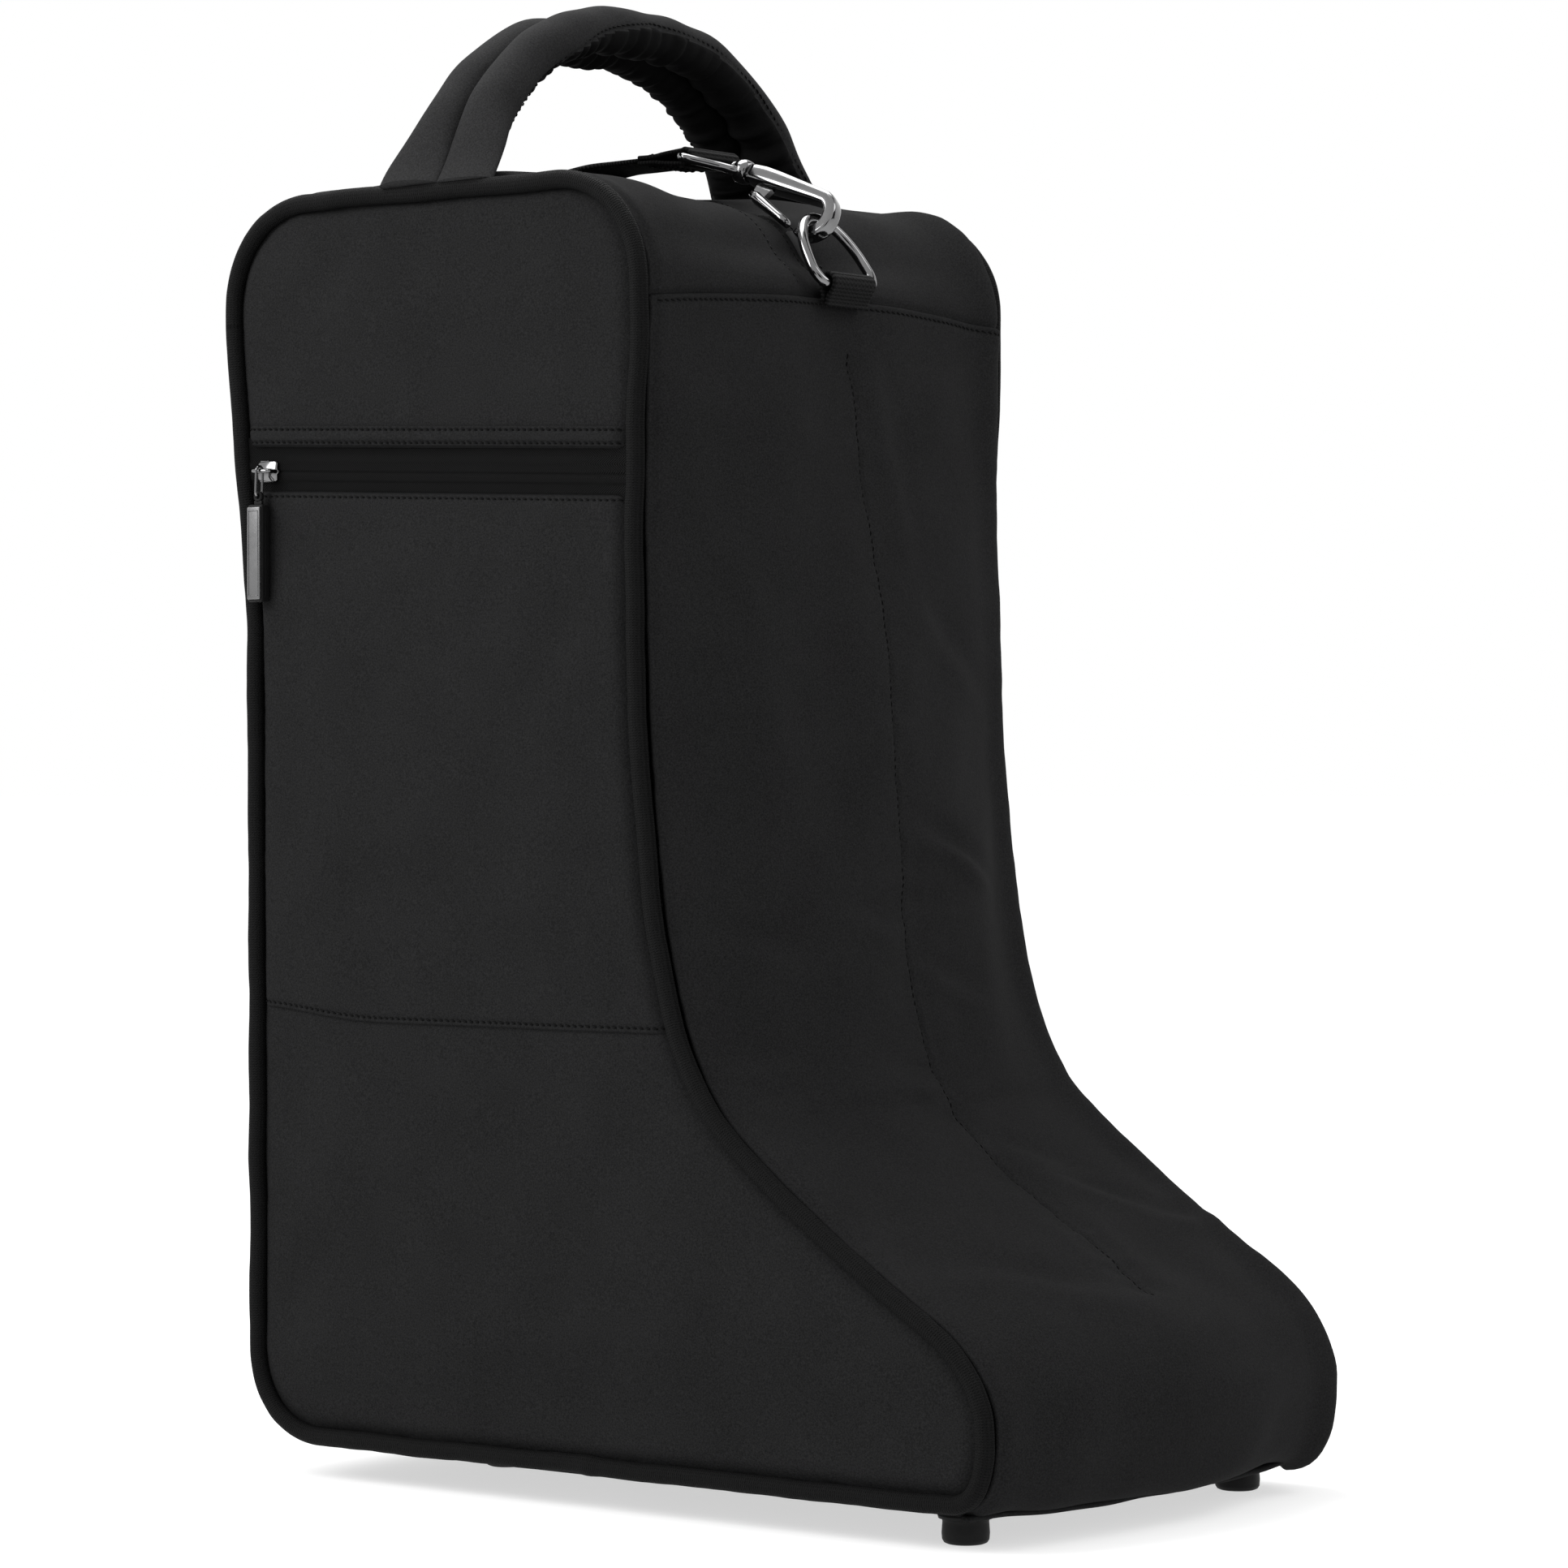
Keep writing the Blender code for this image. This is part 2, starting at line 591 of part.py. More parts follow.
def rounded(frame, u, v, along, half_w, half_t):
    """Eight-cornered section of a bar, square to the direction along in the u-v plane."""
    side = Vector((-along[1], along[0]))
    ring = []
    for w, t in ((1, .5), (.6, 1), (-.6, 1), (-1, .5), (-1, -.5), (-.6, -1), (.6, -1), (1, -.5)):
        ring.append(frame @ Vector((u + side.x * t * half_t, v + side.y * t * half_t, w * half_w)))
    return ring


def hook_body(name, frame, mat):
    """Straight shank from the collar, then the bowl round to its tip."""
    rings = [rounded(frame, 0.0233, 0.0, (1, 0), 0.0040, 0.0030),
             rounded(frame, 0.0300, 0.0, (1, 0), 0.0046, 0.0028),
             rounded(frame, 0.0480, 0.0, (1, 0), 0.0042, 0.0026),
             rounded(frame, HOOK_BOWL_U - 0.004, 0.0, (1, 0), 0.0038, 0.0025)]
    for k in range(1, 10):
        a = pi / 2 - radians(200) * k / 9
        u = HOOK_BOWL_U - 0.001 + BOWL_R * cos(a)
        v = -BOWL_DROP + (BOWL_DROP if a > 0 else BOWL_R) * sin(a)
        rings.append(rounded(frame, u, v, (sin(a), -cos(a)), 0.0032, 0.0022))
    shank = loft(name, rings, mat)
    stud = rod(name + "_stud", frame, (0.0138, 0, 0), (0.0250, 0, 0), 0.0017, mat)
    head = rod(name + "_head", frame, (0.0132, 0, 0), (0.0154, 0, 0), 0.0030, mat)
    lug = block(name + "_lug", frame, (0.0295, -0.0110, -0.0013), (0.0375, -0.0010, 0.0013), mat)
    hole = rod(name + "_hole", frame, (0.0335, -0.0092, -0.01), (0.0335, -0.0092, 0.01), 0.0012, mat)
    combine(shank, stud, "UNION")
    combine(shank, head, "UNION")
    combine(shank, lug, "UNION")
    return combine(shank, hole, "DIFFERENCE")


def hook_gate(name, frame, mat):
    """Sprung lever from its pin to just short of the hook's tip."""
    end_u = HOOK_BOWL_U - 0.0042
    end_v = -BOWL_DROP - BOWL_R + 0.0002
    along = Vector((end_u - GATE_PIN[0], end_v - GATE_PIN[1])).normalized()
    rings = []
    for t, half_w, half_t in ((-0.0034, 0.0030, 0.0016), (0.0, 0.0034, 0.0024), (0.010, 0.0034, 0.0018),
                              (0.0205, 0.0028, 0.0016)):
        rings.append(rounded(frame, GATE_PIN[0] + along.x * t, GATE_PIN[1] + along.y * t,
                             along, half_w, half_t))
    gate = loft(name, rings, mat)
    slot = block(name + "_slot", frame, (0.0270, -0.0150, -0.0017), (0.0392, -0.0040, 0.0017), mat)
    hole = rod(name + "_hole", frame, (*GATE_PIN, -0.01), (*GATE_PIN, 0.01), 0.0012, mat)
    combine(gate, slot, "DIFFERENCE")
    return combine(gate, hole, "DIFFERENCE")


# front hardware: ring lies back over the corner, hook lies on the top
FRONT_BAR = Vector((0.0320, 0.0, 0.4740))
FRONT_BOW = Vector((0.0155, 0.0, 0.5005))
ring_dir = (FRONT_BOW - FRONT_BAR).normalized()
front_ring_frame = axes_frame(FRONT_BAR, ring_dir, ring_dir.cross(Vector((0, 1, 0))))
d_ring("front_d_ring", front_ring_frame, GUNMETAL)
front_seam = Vector((0.0300, 0.0, 0.4640))
tail_dir = (front_seam - FRONT_BAR).normalized()
folded_web("front_chape", axes_frame(FRONT_BAR, tail_dir, Vector((0, 1, 0)).cross(tail_dir)),
           0.0100, RING_R + 0.0004, WEB_W / 2 - 0.0035, WEBBING)

HOOK_DIR = Vector((0.9483, 0.0, -0.3173))
HOOK_UP = Vector((0.3173, 0.0, 0.9483))
FOLD_L = 0.0240


def hook_frames(bowl, along, up, rolled):
    """Frames of the eye and of the rolled hook whose bowl holds the point bowl."""
    origin = bowl - along * HOOK_BOWL_U + rolled * BOWL_DROP
    return axes_frame(origin, along, up), axes_frame(origin, along, rolled)


def snap_hook(side, bowl, along, up, rolled, web_dir):
    """The four metal pieces of one swivel hook, and the webbing end folded round its eye."""
    flat, turned = hook_frames(bowl, along, up, rolled)
    eye = swivel_eye(f"{side}_eye_loop", flat, GUNMETAL)
    collar, bore = swivel_collar(f"{side}_swivel_eye", flat, GUNMETAL)
    combine(collar, eye, "UNION")
    combine(collar, bore, "DIFFERENCE")
    swivel = pivot(f"{side}_hook_swivel", flat.translation, along)
    body = hook_body(f"{side}_hook_body", turned, GUNMETAL)
    pin = rod(f"{side}_gate_pin", turned, (*GATE_PIN, -0.0036), (*GATE_PIN, 0.0036), 0.0009, GUNMETAL, 12)
    gate = hook_gate(f"{side}_hook_gate", turned, GUNMETAL)
    gate_axis = pivot(f"{side}_gate_axis", turned @ Vector((*GATE_PIN, 0.0)), turned.to_3x3().col[2])
    hang(body, swivel)
    hang(pin, swivel)
    hang(gate, gate_axis)
    fold = axes_frame(flat.translation, web_dir, flat.to_3x3().col[2].cross(web_dir))
    folded_web(f"{side}_strap_fold", fold, FOLD_L, 0.0022, WEB_W / 2, WEBBING)
    return flat.translation + web_dir * (FOLD_L + 2 * GAP)


front_tail = snap_hook("front", FRONT_BOW, HOOK_DIR, HOOK_UP,
                       HOOK_UP * cos(radians(30)) + Vector((0, sin(radians(30)), 0)), Vector((-1, 0, 0)))

# rear hardware: ring and hook hang from the far side seam
REAR_BAR = Vector((-0.1620, 0.1268, 0.5065))
REAR_BOW = REAR_BAR + Vector((0.0, 0.0007, -RING_DEPTH))     # the bowl is clear of the ring both ways
d_ring("rear_d_ring", axes_frame(REAR_BAR, Vector((0, 0, -1)), Vector((0, 1, 0))), GUNMETAL)
folded_web("rear_chape", axes_frame(REAR_BAR, Vector((0, -0.86, 0.51)), Vector((0, 0.51, 0.86))),
           0.0098, RING_R + 0.0004, 0.0100, WEBBING)
rear_tail = snap_hook("rear", REAR_BOW, Vector((0, 0, 1)), Vector((0, -1, 0)),
                      Vector((-sin(radians(40)), -cos(radians(40)), 0)), Vector((0, 0, -1)))

# ---------------------------------------------------------------- shoulder strap
STRAP_ROUTE = [              # centre of the webbing, and the direction across its width
    (front_tail, (0.0, 1.0, 0.0)),
    (front_tail + Vector((-0.0130, 0.0, -0.0002)), (0.0, 1.0, 0.0)),
    ((-0.0940, 0.0045, 0.5280), (0.0, 1.0, 0.0)),
    ((-0.1100, 0.0080, 0.5262), (0.15, 1.0, 0.0)),
    ((-0.1250, 0.0210, 0.5235), (0.60, 0.85, 0.0)),
    ((-0.1325, 0.0420, 0.5215), (0.93, 0.40, 0.0)),
    ((-0.1355, 0.0640, 0.5195), (1.0, 0.10, 0.0)),
    ((-0.1355, 0.0860, 0.5185), (1.0, 0.0, 0.0)),
    ((-0.1355, 0.1060, 0.5175), (1.0, 0.0, 0.0)),
    ((-0.1355, 0.1170, 0.5145), (1.0, 0.0, 0.0)),
    ((-0.1353, 0.1205, 0.5020), (1.0, 0.0, 0.0)),
    ((-0.1350, 0.1185, 0.4700), (1.0, 0.0, 0.0)),
    ((-0.1340, 0.1172, 0.4200), (1.0, 0.0, 0.0)),
    ((-0.1310, 0.1172, 0.3400), (1.0, 0.0, 0.02)),
    ((-0.1290, 0.1175, 0.2400), (1.0, 0.0, 0.04)),
    ((-0.1310, 0.1185, 0.1700), (1.0, 0.0, 0.06)),
    ((-0.1330, 0.1230, 0.1420), (1.0, 0.0, 0.08)),
    ((-0.1355, 0.1295, 0.1330), (1.0, 0.0, 0.08)),
    ((-0.1380, 0.1355, 0.1430), (1.0, 0.0, 0.08)),
    ((-0.1420, 0.1370, 0.1750), (1.0, 0.0, 0.10)),
    ((-0.1520, 0.1360, 0.2500), (1.0, 0.0, 0.12)),
    ((-0.1630, 0.1320, 0.3300), (1.0, 0.0, 0.06)),
    (rear_tail - Vector((0.0, -0.0010, 0.0260)), (1.0, 0.0, 0.0)),
    (rear_tail, (1.0, 0.0, 0.0)),
]


def smooth_route(route, steps):
    """Catmull-Rom samples of (centre, across) pairs."""
    centres = [Vector(p) for p, w in route]
    widths = [Vector(w).normalized() for p, w in route]
    out = []
    for i in range(len(route) - 1):
        quad = [max(i - 1, 0), i, i + 1, min(i + 2, len(route) - 1)]
        for k in range(steps):
            t = k / steps
            blend = (-0.5 * t + t * t - 0.5 * t ** 3, 1 - 2.5 * t * t + 1.5 * t ** 3,
                     0.5 * t + 2 * t * t - 1.5 * t ** 3, -0.5 * t * t + 0.5 * t ** 3)
            centre = sum((centres[j] * f for j, f in zip(quad, blend)), Vector())
            across = sum((widths[j] * f for j, f in zip(quad, blend)), Vector())
            out.append((centre, across.normalized()))
    out.append((centres[-1], widths[-1]))
    return out


def ribbon(name, samples, width, thick, mat):
    """Flat webbing along sampled centres."""
    rings = []
    for i, (centre, across) in enumerate(samples):
        before = samples[max(i - 1, 0)][0]
        after = samples[min(i + 1, len(samples) - 1)][0]
        along = (after - before).normalized()
        across = (across - along * across.dot(along)).normalized()
        face = along.cross(across)
        rings.append([centre + across * a * width / 2 + face * b * thick / 2
                      for a, b in ((-1, -1), (1, -1), (1, 1), (-1, 1))])
    return loft(name, rings, mat, 30.0)


strap = smooth_route(STRAP_ROUTE, 3)
ribbon("strap_webbing", strap, WEB_W, WEB_T, WEBBING)

# one slide adjuster round the outer strand
ADJUSTER_Z = 0.300
upward = [p for p, q in zip(strap, strap[1:]) if q[0].z > p[0].z and p[0].y > 0.13]
lower, upper = [(p, q) for p, q in zip(upward, upward[1:]) if p[0].z < ADJUSTER_Z <= q[0].z][0]
strand_dir = (upper[0] - lower[0]).normalized()
strand_at = lower[0].lerp(upper[0], (ADJUSTER_Z - lower[0].z) / (upper[0].z - lower[0].z))
adjuster_frame = axes_frame(strand_at, strand_dir, lower[1])
slide_axis = pivot("adjuster_travel", strand_at, strand_dir)
adjuster = block("strap_slide_adjuster", adjuster_frame, (-0.0080, -0.0190, -0.0030),
                 (0.0080, 0.0190, 0.0030), GUNMETAL)
window = block("adjuster_window", adjuster_frame, (-0.02, -WEB_W / 2 - 0.0006, -0.0016),
               (0.02, WEB_W / 2 + 0.0006, 0.0016), GUNMETAL)
hang(combine(adjuster, window, "DIFFERENCE"), slide_axis)


# ---------------------------------------------------------------- carrying handle
HANDLE_PLACE = (Matrix.Translation((HANDLE_X, 0.0, 0.0)) @ Matrix.Rotation(HANDLE_SKEW, 4, "Z"))


def handle_roll(name, side, mat):
    """One padded channel of the handle; its ends narrow to turn inside the feet."""
    rings = []
    count = 32
    reach = PIPING_Y - 0.001
    for i in range(count + 1):
        s = -1.0 + 2.0 * i / count
        y = reach * s * (1.5 - 0.5 * s * s)
        part_of = abs(y) / PIPING_Y
        slope = -HANDLE_RISE * 2.5 * part_of ** 1.5 / PIPING_Y * (1 if y > 0 else -1)
        z = TOP_Z + HANDLE_RISE * (1.0 - part_of ** 2.5)
        lift = z - HANDLE_AXIS_Z
        if lift < -0.0105:
            continue
        along = Vector((0.0, 1.0, slope)).normalized()
        up = Vector((0.0, -along.z, along.y))
        full = ease(lift / 0.016)
        radius = mix(ROLL_END_R, ROLL_R, full)
        if lift < 0.0:
            radius = min(radius, (HINGE_R ** 2 - lift ** 2) ** 0.5 / 2 - 0.00015)
        centre = Vector((side * (radius + 0.0003), y, z))
        rings.append([HANDLE_PLACE @ (centre + Vector((1, 0, 0)) * radius * cos(2 * pi * k / 12)
                                      + up * radius * 0.92 * sin(2 * pi * k / 12)) for k in range(12)])
    return loft(name, rings, mat, 80.0)


handle_axis = pivot("handle_axis", Vector((HANDLE_X, 0.0, HANDLE_AXIS_Z)))
for name, side in (("handle_rear_roll", -1), ("handle_front_roll", 1)):
    hang(handle_roll(name, side, SHELL_FABRIC), handle_axis)

# the flat feet of the handle, hollowed for the roll ends
seat = arc((0.0, HANDLE_AXIS_Z), HINGE_R + 0.0008, -18, -162, 12)
FOOT_OUTLINE = [(-0.0240, 0.5143), (0.0240, 0.5143), (0.0232, 0.5170), (0.0185, 0.5230)] + seat
FOOT_OUTLINE += [(-0.0185, 0.5230), (-0.0232, 0.5170)]
for name, y_from in (("near_handle_foot", -0.1135), ("far_handle_foot", 0.1080)):
    outline = [HANDLE_PLACE @ Vector((x, y_from, z)) for x, z in FOOT_OUTLINE]
    lift = HANDLE_PLACE.to_3x3() @ Vector((0.0, 0.0055, 0.0))
    prism(name, outline, lift, SHELL_FABRIC)


# ---------------------------------------------------------------- zip sliders and pulls
def zip_slider(name, frame, mat):
    """Two plates, the wedge between them, and the bridge that carries the pull."""
    half = SLIDER_L / 2
    body = block(name, frame, (-half, -SLIDER_W / 2, 0.0004), (half, SLIDER_W / 2, 0.0022), mat)
    back = block(name + "_back", frame, (-half + 0.001, -SLIDER_W / 2, -0.0044),
                 (half - 0.001, SLIDER_W / 2, -0.0036), mat)
    neck = block(name + "_neck", frame, (-0.0020, -0.0007, -0.0040), (half - 0.0015, 0.0007, 0.0010), mat)
    outline = [(-0.0050, 0.0012), (-0.0048, 0.0066), (-0.0036, 0.0074), (0.0036, 0.0074), (0.0048, 0.0066),
               (0.0050, 0.0012), (0.0038, 0.0012), (0.0036, 0.0058), (-0.0036, 0.0058), (-0.0038, 0.0012)]
    bridge = prism(name + "_bridge", [frame @ Vector((u, -0.0008, w)) for u, w in outline],
                   frame.to_3x3() @ Vector((0.0, 0.0016, 0.0)), mat)
    for extra in (back, neck, bridge):
        combine(body, extra, "UNION")
    return body


def pull_link(name, start, hang_dir, wire_dir, half_w, length, mat):
    """Wire link: two half rings joined by straight sides."""
    points = []
    for centre, turn in ((0.0, -1.0), (length, 1.0)):
        for k in range(7):
            a = pi * k / 6
            points.append(start + hang_dir * (centre + turn * half_w * sin(a))
                          + wire_dir * half_w * cos(a) * -turn)
    return planar_ring(name, points, hang_dir.cross(wire_dir), LINK_R, mat)


def zip_pull(prefix, hole_at, down, wire_dir, face_dir, offset):
    """Rubber pull with a tongue bored for the link, and a metal face plate."""
    side_dir = down.cross(face_dir)
    frame = axes_frame(hole_at, down, side_dir)
    out = 1.0 if frame.to_3x3().col[2].dot(face_dir) > 0 else -1.0
    middle = offset * out
    name = prefix + "_puller_body"
    body = block(name, frame, (0.0032, -PULL_W / 2, middle - 0.0025), (0.0032 + PULL_L, PULL_W / 2,
                 middle + 0.0025), PULL_RUBBER)
    tongue_half = Vector((0.0, 0.00225, 0.00075))
    if abs(wire_dir.dot(face_dir)) < 0.5:
        tongue_half = Vector((0.0, 0.00075, 0.0020))
    tongue = block(name + "_tongue", frame, (-0.0018, -tongue_half.y, -tongue_half.z),
                   (0.0060, tongue_half.y, tongue_half.z), PULL_RUBBER)
    along = frame.inverted().to_3x3() @ wire_dir
    bore = rod(name + "_bore", frame, -along * 0.01, along * 0.01, 0.0010, PULL_RUBBER)
    combine(body, tongue, "UNION")
    combine(body, bore, "DIFFERENCE")
    face = (middle + out * 0.0028, middle + out * 0.0036)
    plate = block(prefix + "_puller_plate", frame, (0.0045, -PULL_W / 2 + 0.0006, min(face)),
                  (0.0020 + PULL_L, PULL_W / 2 - 0.0006, max(face)), PULL_METAL)
    swing = pivot(prefix + "_pull_swing", hole_at, wire_dir)
    hang(body, swing)
    hang(plate, swing)


POCKET_DIR = Vector((1.0, 0.0, ZIP_SLOPE)).normalized()
NEAR_OUT = Vector((0.0, -1.0, 0.0))
pocket_frame = axes_frame(Vector((POCKET_PARK_X, TAPE_OUT, zip_z(POCKET_PARK_X))), POCKET_DIR,
                          NEAR_OUT.cross(POCKET_DIR))
hang(zip_slider("pocket_slider", pocket_frame, GUNMETAL),
     pivot("pocket_slider_travel", pocket_frame.translation, POCKET_DIR))
POCKET_LINK_HALF = 0.0018
POCKET_LINK_L = 0.0085
down = POCKET_DIR.cross(NEAR_OUT)
link_at = pocket_frame @ Vector((0.0, 0.0, BRIDGE_W))
hang(pull_link("pocket_pull_link", link_at, down, NEAR_OUT, POCKET_LINK_HALF, POCKET_LINK_L, GUNMETAL),
     pivot("pocket_link_lift", link_at, POCKET_DIR))
zip_pull("pocket", link_at + down * (POCKET_LINK_L + POCKET_LINK_HALF), Vector((0.0, 0.0, -1.0)), NEAR_OUT,
         NEAR_OUT, 0.0)

park_x, park_z = on_line(MAIN_PARK_Z, TAPE_DEPTH)
ACROSS = Vector((0.0, 1.0, 0.0))
main_frame = axes_frame(Vector((park_x, 0.0, park_z)), LINE_UP, ACROSS)
notch = block("main_slider_notch", main_frame, (-0.0125, -0.0056, -0.02), (0.03, 0.0056, 0.02), SHELL_FABRIC)
combine(heel_panel, notch, "DIFFERENCE")
hang(zip_slider("main_slider", main_frame, GUNMETAL),
     pivot("main_slider_travel", main_frame.translation, LINE_UP))
MAIN_LINK_HALF = 0.0030
MAIN_LINK_L = 0.0100
rear_out = LINE_UP.cross(ACROSS)
down = (rear_out * 0.21 - LINE_UP).normalized()
link_at = main_frame @ Vector((0.0015, 0.0, 0.0044))
hang(pull_link("main_pull_link", link_at + down * MAIN_LINK_HALF, down, ACROSS, MAIN_LINK_HALF, MAIN_LINK_L,
               GUNMETAL), pivot("main_link_lift", link_at, ACROSS))
zip_pull("main", link_at + down * (MAIN_LINK_L + 2 * MAIN_LINK_HALF), Vector((0.0, 0.0, -1.0)), ACROSS,
         Vector((-1.0, 0.0, 0.0)), 0.0004)


# ---------------------------------------------------------------- feet
def turned(name, x, y, profile, mat, sides=24):
    """A turned solid standing at (x, y), from (radius, height) pairs."""
    bm = bmesh.new()
    rows = []
    for radius, z in profile:
        turns = [2 * pi * k / sides for k in range(sides)]
        rows.append([bm.verts.new((x + radius * cos(a), y + radius * sin(a), z)) for a in turns])
    for a, b in zip(rows, rows[1:]):
        for i in range(sides):
            j = (i + 1) % sides
            bm.faces.new((a[i], a[j], b[j], b[i]))
    bm.faces.new(rows[0])
    bm.faces.new(rows[-1])
    return finish(name, bm, mat, 40.0)


FOOT_PROFILE = [(FOOT_R - 0.0030, 0.0), (FOOT_R - 0.0008, 0.0010), (FOOT_R, 0.0040), (FOOT_R, 0.0095),
                (FOOT_R - 0.0010, BASE_Z - GAP)]
for name, (x, y) in FOOT_SPOTS.items():
    turned(name, x, y, FOOT_PROFILE, FOOT_RUBBER)
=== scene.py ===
"""Looks of the tall-boot bag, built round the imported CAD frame.

Metres, +Z up, origin on the ground under the bag; +X to the toe, -Y the pocket side.
"""
import json
from math import cos, pi, radians, sin

import bmesh
import bpy
import numpy as np
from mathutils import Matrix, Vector


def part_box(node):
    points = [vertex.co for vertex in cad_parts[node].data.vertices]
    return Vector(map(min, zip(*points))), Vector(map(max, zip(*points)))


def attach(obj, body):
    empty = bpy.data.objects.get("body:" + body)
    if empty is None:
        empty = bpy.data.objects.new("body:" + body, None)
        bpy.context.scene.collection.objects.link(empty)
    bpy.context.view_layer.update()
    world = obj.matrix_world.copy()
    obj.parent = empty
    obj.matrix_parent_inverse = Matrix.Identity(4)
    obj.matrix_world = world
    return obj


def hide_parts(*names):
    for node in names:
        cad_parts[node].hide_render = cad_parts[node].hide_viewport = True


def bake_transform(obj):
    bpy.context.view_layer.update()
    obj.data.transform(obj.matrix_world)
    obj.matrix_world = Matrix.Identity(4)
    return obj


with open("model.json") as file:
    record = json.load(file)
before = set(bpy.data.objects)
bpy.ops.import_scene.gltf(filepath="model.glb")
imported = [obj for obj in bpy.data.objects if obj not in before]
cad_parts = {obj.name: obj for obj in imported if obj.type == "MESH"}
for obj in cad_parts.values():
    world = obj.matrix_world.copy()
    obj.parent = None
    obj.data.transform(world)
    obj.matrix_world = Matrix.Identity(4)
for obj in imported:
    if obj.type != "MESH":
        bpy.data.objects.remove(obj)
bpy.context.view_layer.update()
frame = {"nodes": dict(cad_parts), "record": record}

# ---- places read from the frame
PIPE_LOW, PIPE_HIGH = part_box("near_piping")
REAR_X, BASE_Z = PIPE_LOW[0], PIPE_LOW[2]
TOE_X, TOP_Z = PIPE_HIGH[0], PIPE_HIGH[2]
PIPING_R = (PIPE_HIGH[1] - PIPE_LOW[1]) / 2
PIPING_Y = -(PIPE_HIGH[1] + PIPE_LOW[1]) / 2
GUSSET_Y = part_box("top_gusset")[1][1]
WEB_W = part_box("front_strap_fold")[1][1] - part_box("front_strap_fold")[0][1]
JOINTS = {joint["name"]: joint for joint in frame["record"]["behaviour"]["joints"]}

# the outline's driving dimensions, as in the CAD
CORNER_R = 0.045
LEG_X = 0.024
HEEL_X = -0.184
HEEL_R = 0.038
SEAM_Z = 0.462
DENT_X = -0.045
DOOR_LOW_Z = 0.110
REAR_LINE_LOW = (-0.190, DOOR_LOW_Z)
REAR_LINE_TOP = (-0.2035, SEAM_Z)
DOOR_EDGE_Y = 0.0122

# pocket side
ZIP_Z = 0.3985
ZIP_MID_X = -0.080
ZIP_SLOPE = -0.040
ZIP_ABOVE = 0.0097
ZIP_BELOW = 0.0078
STRIP_H = 0.0092
LOWER_SEAM_Z = 0.1825

FABRIC_T = 0.0022            # shell fabric with its backing
WEB_T = 0.0018
STITCH = 0.0031              # from one stitch to the next
THREAD_R = 0.00034
ADJUSTER_OUT = 0.0016        # the adjuster's frame stands in front of the webbing


# ---- camera
def add_camera(azimuth, distance, height, pitch, focal_length):
    """The camera stands back along the azimuth and looks level, less the pitch."""
    data = bpy.data.cameras.new("camera")
    camera = bpy.data.objects.new("camera", data)
    bpy.context.scene.collection.objects.link(camera)
    a = radians(azimuth)
    place = Vector((sin(a) * distance, -cos(a) * distance, height))
    p = radians(pitch)
    look = Vector((-sin(a) * cos(p), cos(a) * cos(p), sin(p)))
    camera.location = place
    camera.rotation_euler = look.to_track_quat("-Z", "Y").to_euler()
    data.sensor_width = 36.0
    data.lens = focal_length
    data.clip_end = 200.0
    bpy.context.scene.camera = camera


add_camera(azimuth=38.35, distance=2.067, height=0.286, pitch=-0.25, focal_length=119.291925)


# ---- numbers on arrays
def mix(a, b, t):
    return a + (b - a) * t


def ease(t):
    t = np.clip(t, 0.0, 1.0)
    return t * t * (3.0 - 2.0 * t)


def xyz(x, y, z):
    """An array of points out of three arrays or numbers."""
    return np.stack(np.broadcast_arrays(x, y, z), axis=-1)


def bell(d, width):
    """1 at d = 0, falling to nothing a few widths away."""
    return np.exp(-(d / width) ** 2)


def unit(v):
    v = np.asarray(v, dtype=float)
    return v / np.linalg.norm(v)


def soft_noise(points, wavelength, seed):
    """Smooth seeded noise of about -1 to 1 at an array of points (..., 3)."""
    rng = np.random.default_rng(seed)
    total = np.zeros(points.shape[:-1])
    for _ in range(8):
        way = rng.normal(size=3)
        way /= np.linalg.norm(way)
        length = wavelength * rng.uniform(0.7, 1.6)
        total += np.sin(points @ way * 2 * pi / length + rng.uniform(0, 2 * pi))
    return total / 3.2


def line_noise(s, wavelength, seed):
    """The same along a line."""
    points = np.zeros(np.shape(s) + (3,))
    points[..., 0] = s
    points[..., 1] = seed
    return soft_noise(points, wavelength * 0.6, seed)


# ---- meshes
def add_mesh(name, verts, faces, mat, uvs=None):
    mesh = bpy.data.meshes.new(name)
    mesh.from_pydata([tuple(v) for v in verts], [], faces)
    if uvs is not None:
        layer = mesh.uv_layers.new(name="UVMap")
        loops = np.zeros(len(mesh.loops), dtype=np.int32)
        mesh.loops.foreach_get("vertex_index", loops)
        layer.data.foreach_set("uv", np.asarray(uvs, dtype=np.float32)[loops].ravel())
    for one in (mat if isinstance(mat, (list, tuple)) else [mat]):
        mesh.materials.append(one)
    mesh.shade_smooth()
    obj = bpy.data.objects.new(name, mesh)
    bpy.context.scene.collection.objects.link(obj)
    return obj


def grid_faces(rows, cols, wrap_rows=False, wrap_cols=False, start=0):
    faces = []
    for i in range(rows if wrap_rows else rows - 1):
        a = start + i * cols
        b = start + (i + 1) % rows * cols
        for k in range(cols if wrap_cols else cols - 1):
            j = (k + 1) % cols
            faces.append((a + k, a + j, b + j, b + k))
    return faces


def grid(name, points, mat, uvs=None, wrap_rows=False, wrap_cols=False, ends=False):
    """A mesh over an array of points (rows, cols, 3); ends closes the first and last rings."""
    rows, cols = points.shape[:2]
    faces = grid_faces(rows, cols, wrap_rows, wrap_cols)
    if ends:
        faces.append(tuple(range(cols))[::-1])
        faces.append(tuple(range((rows - 1) * cols, rows * cols)))
    flat = None if uvs is None else uvs.reshape(-1, 2)
    return add_mesh(name, points.reshape(-1, 3), faces, mat, flat)


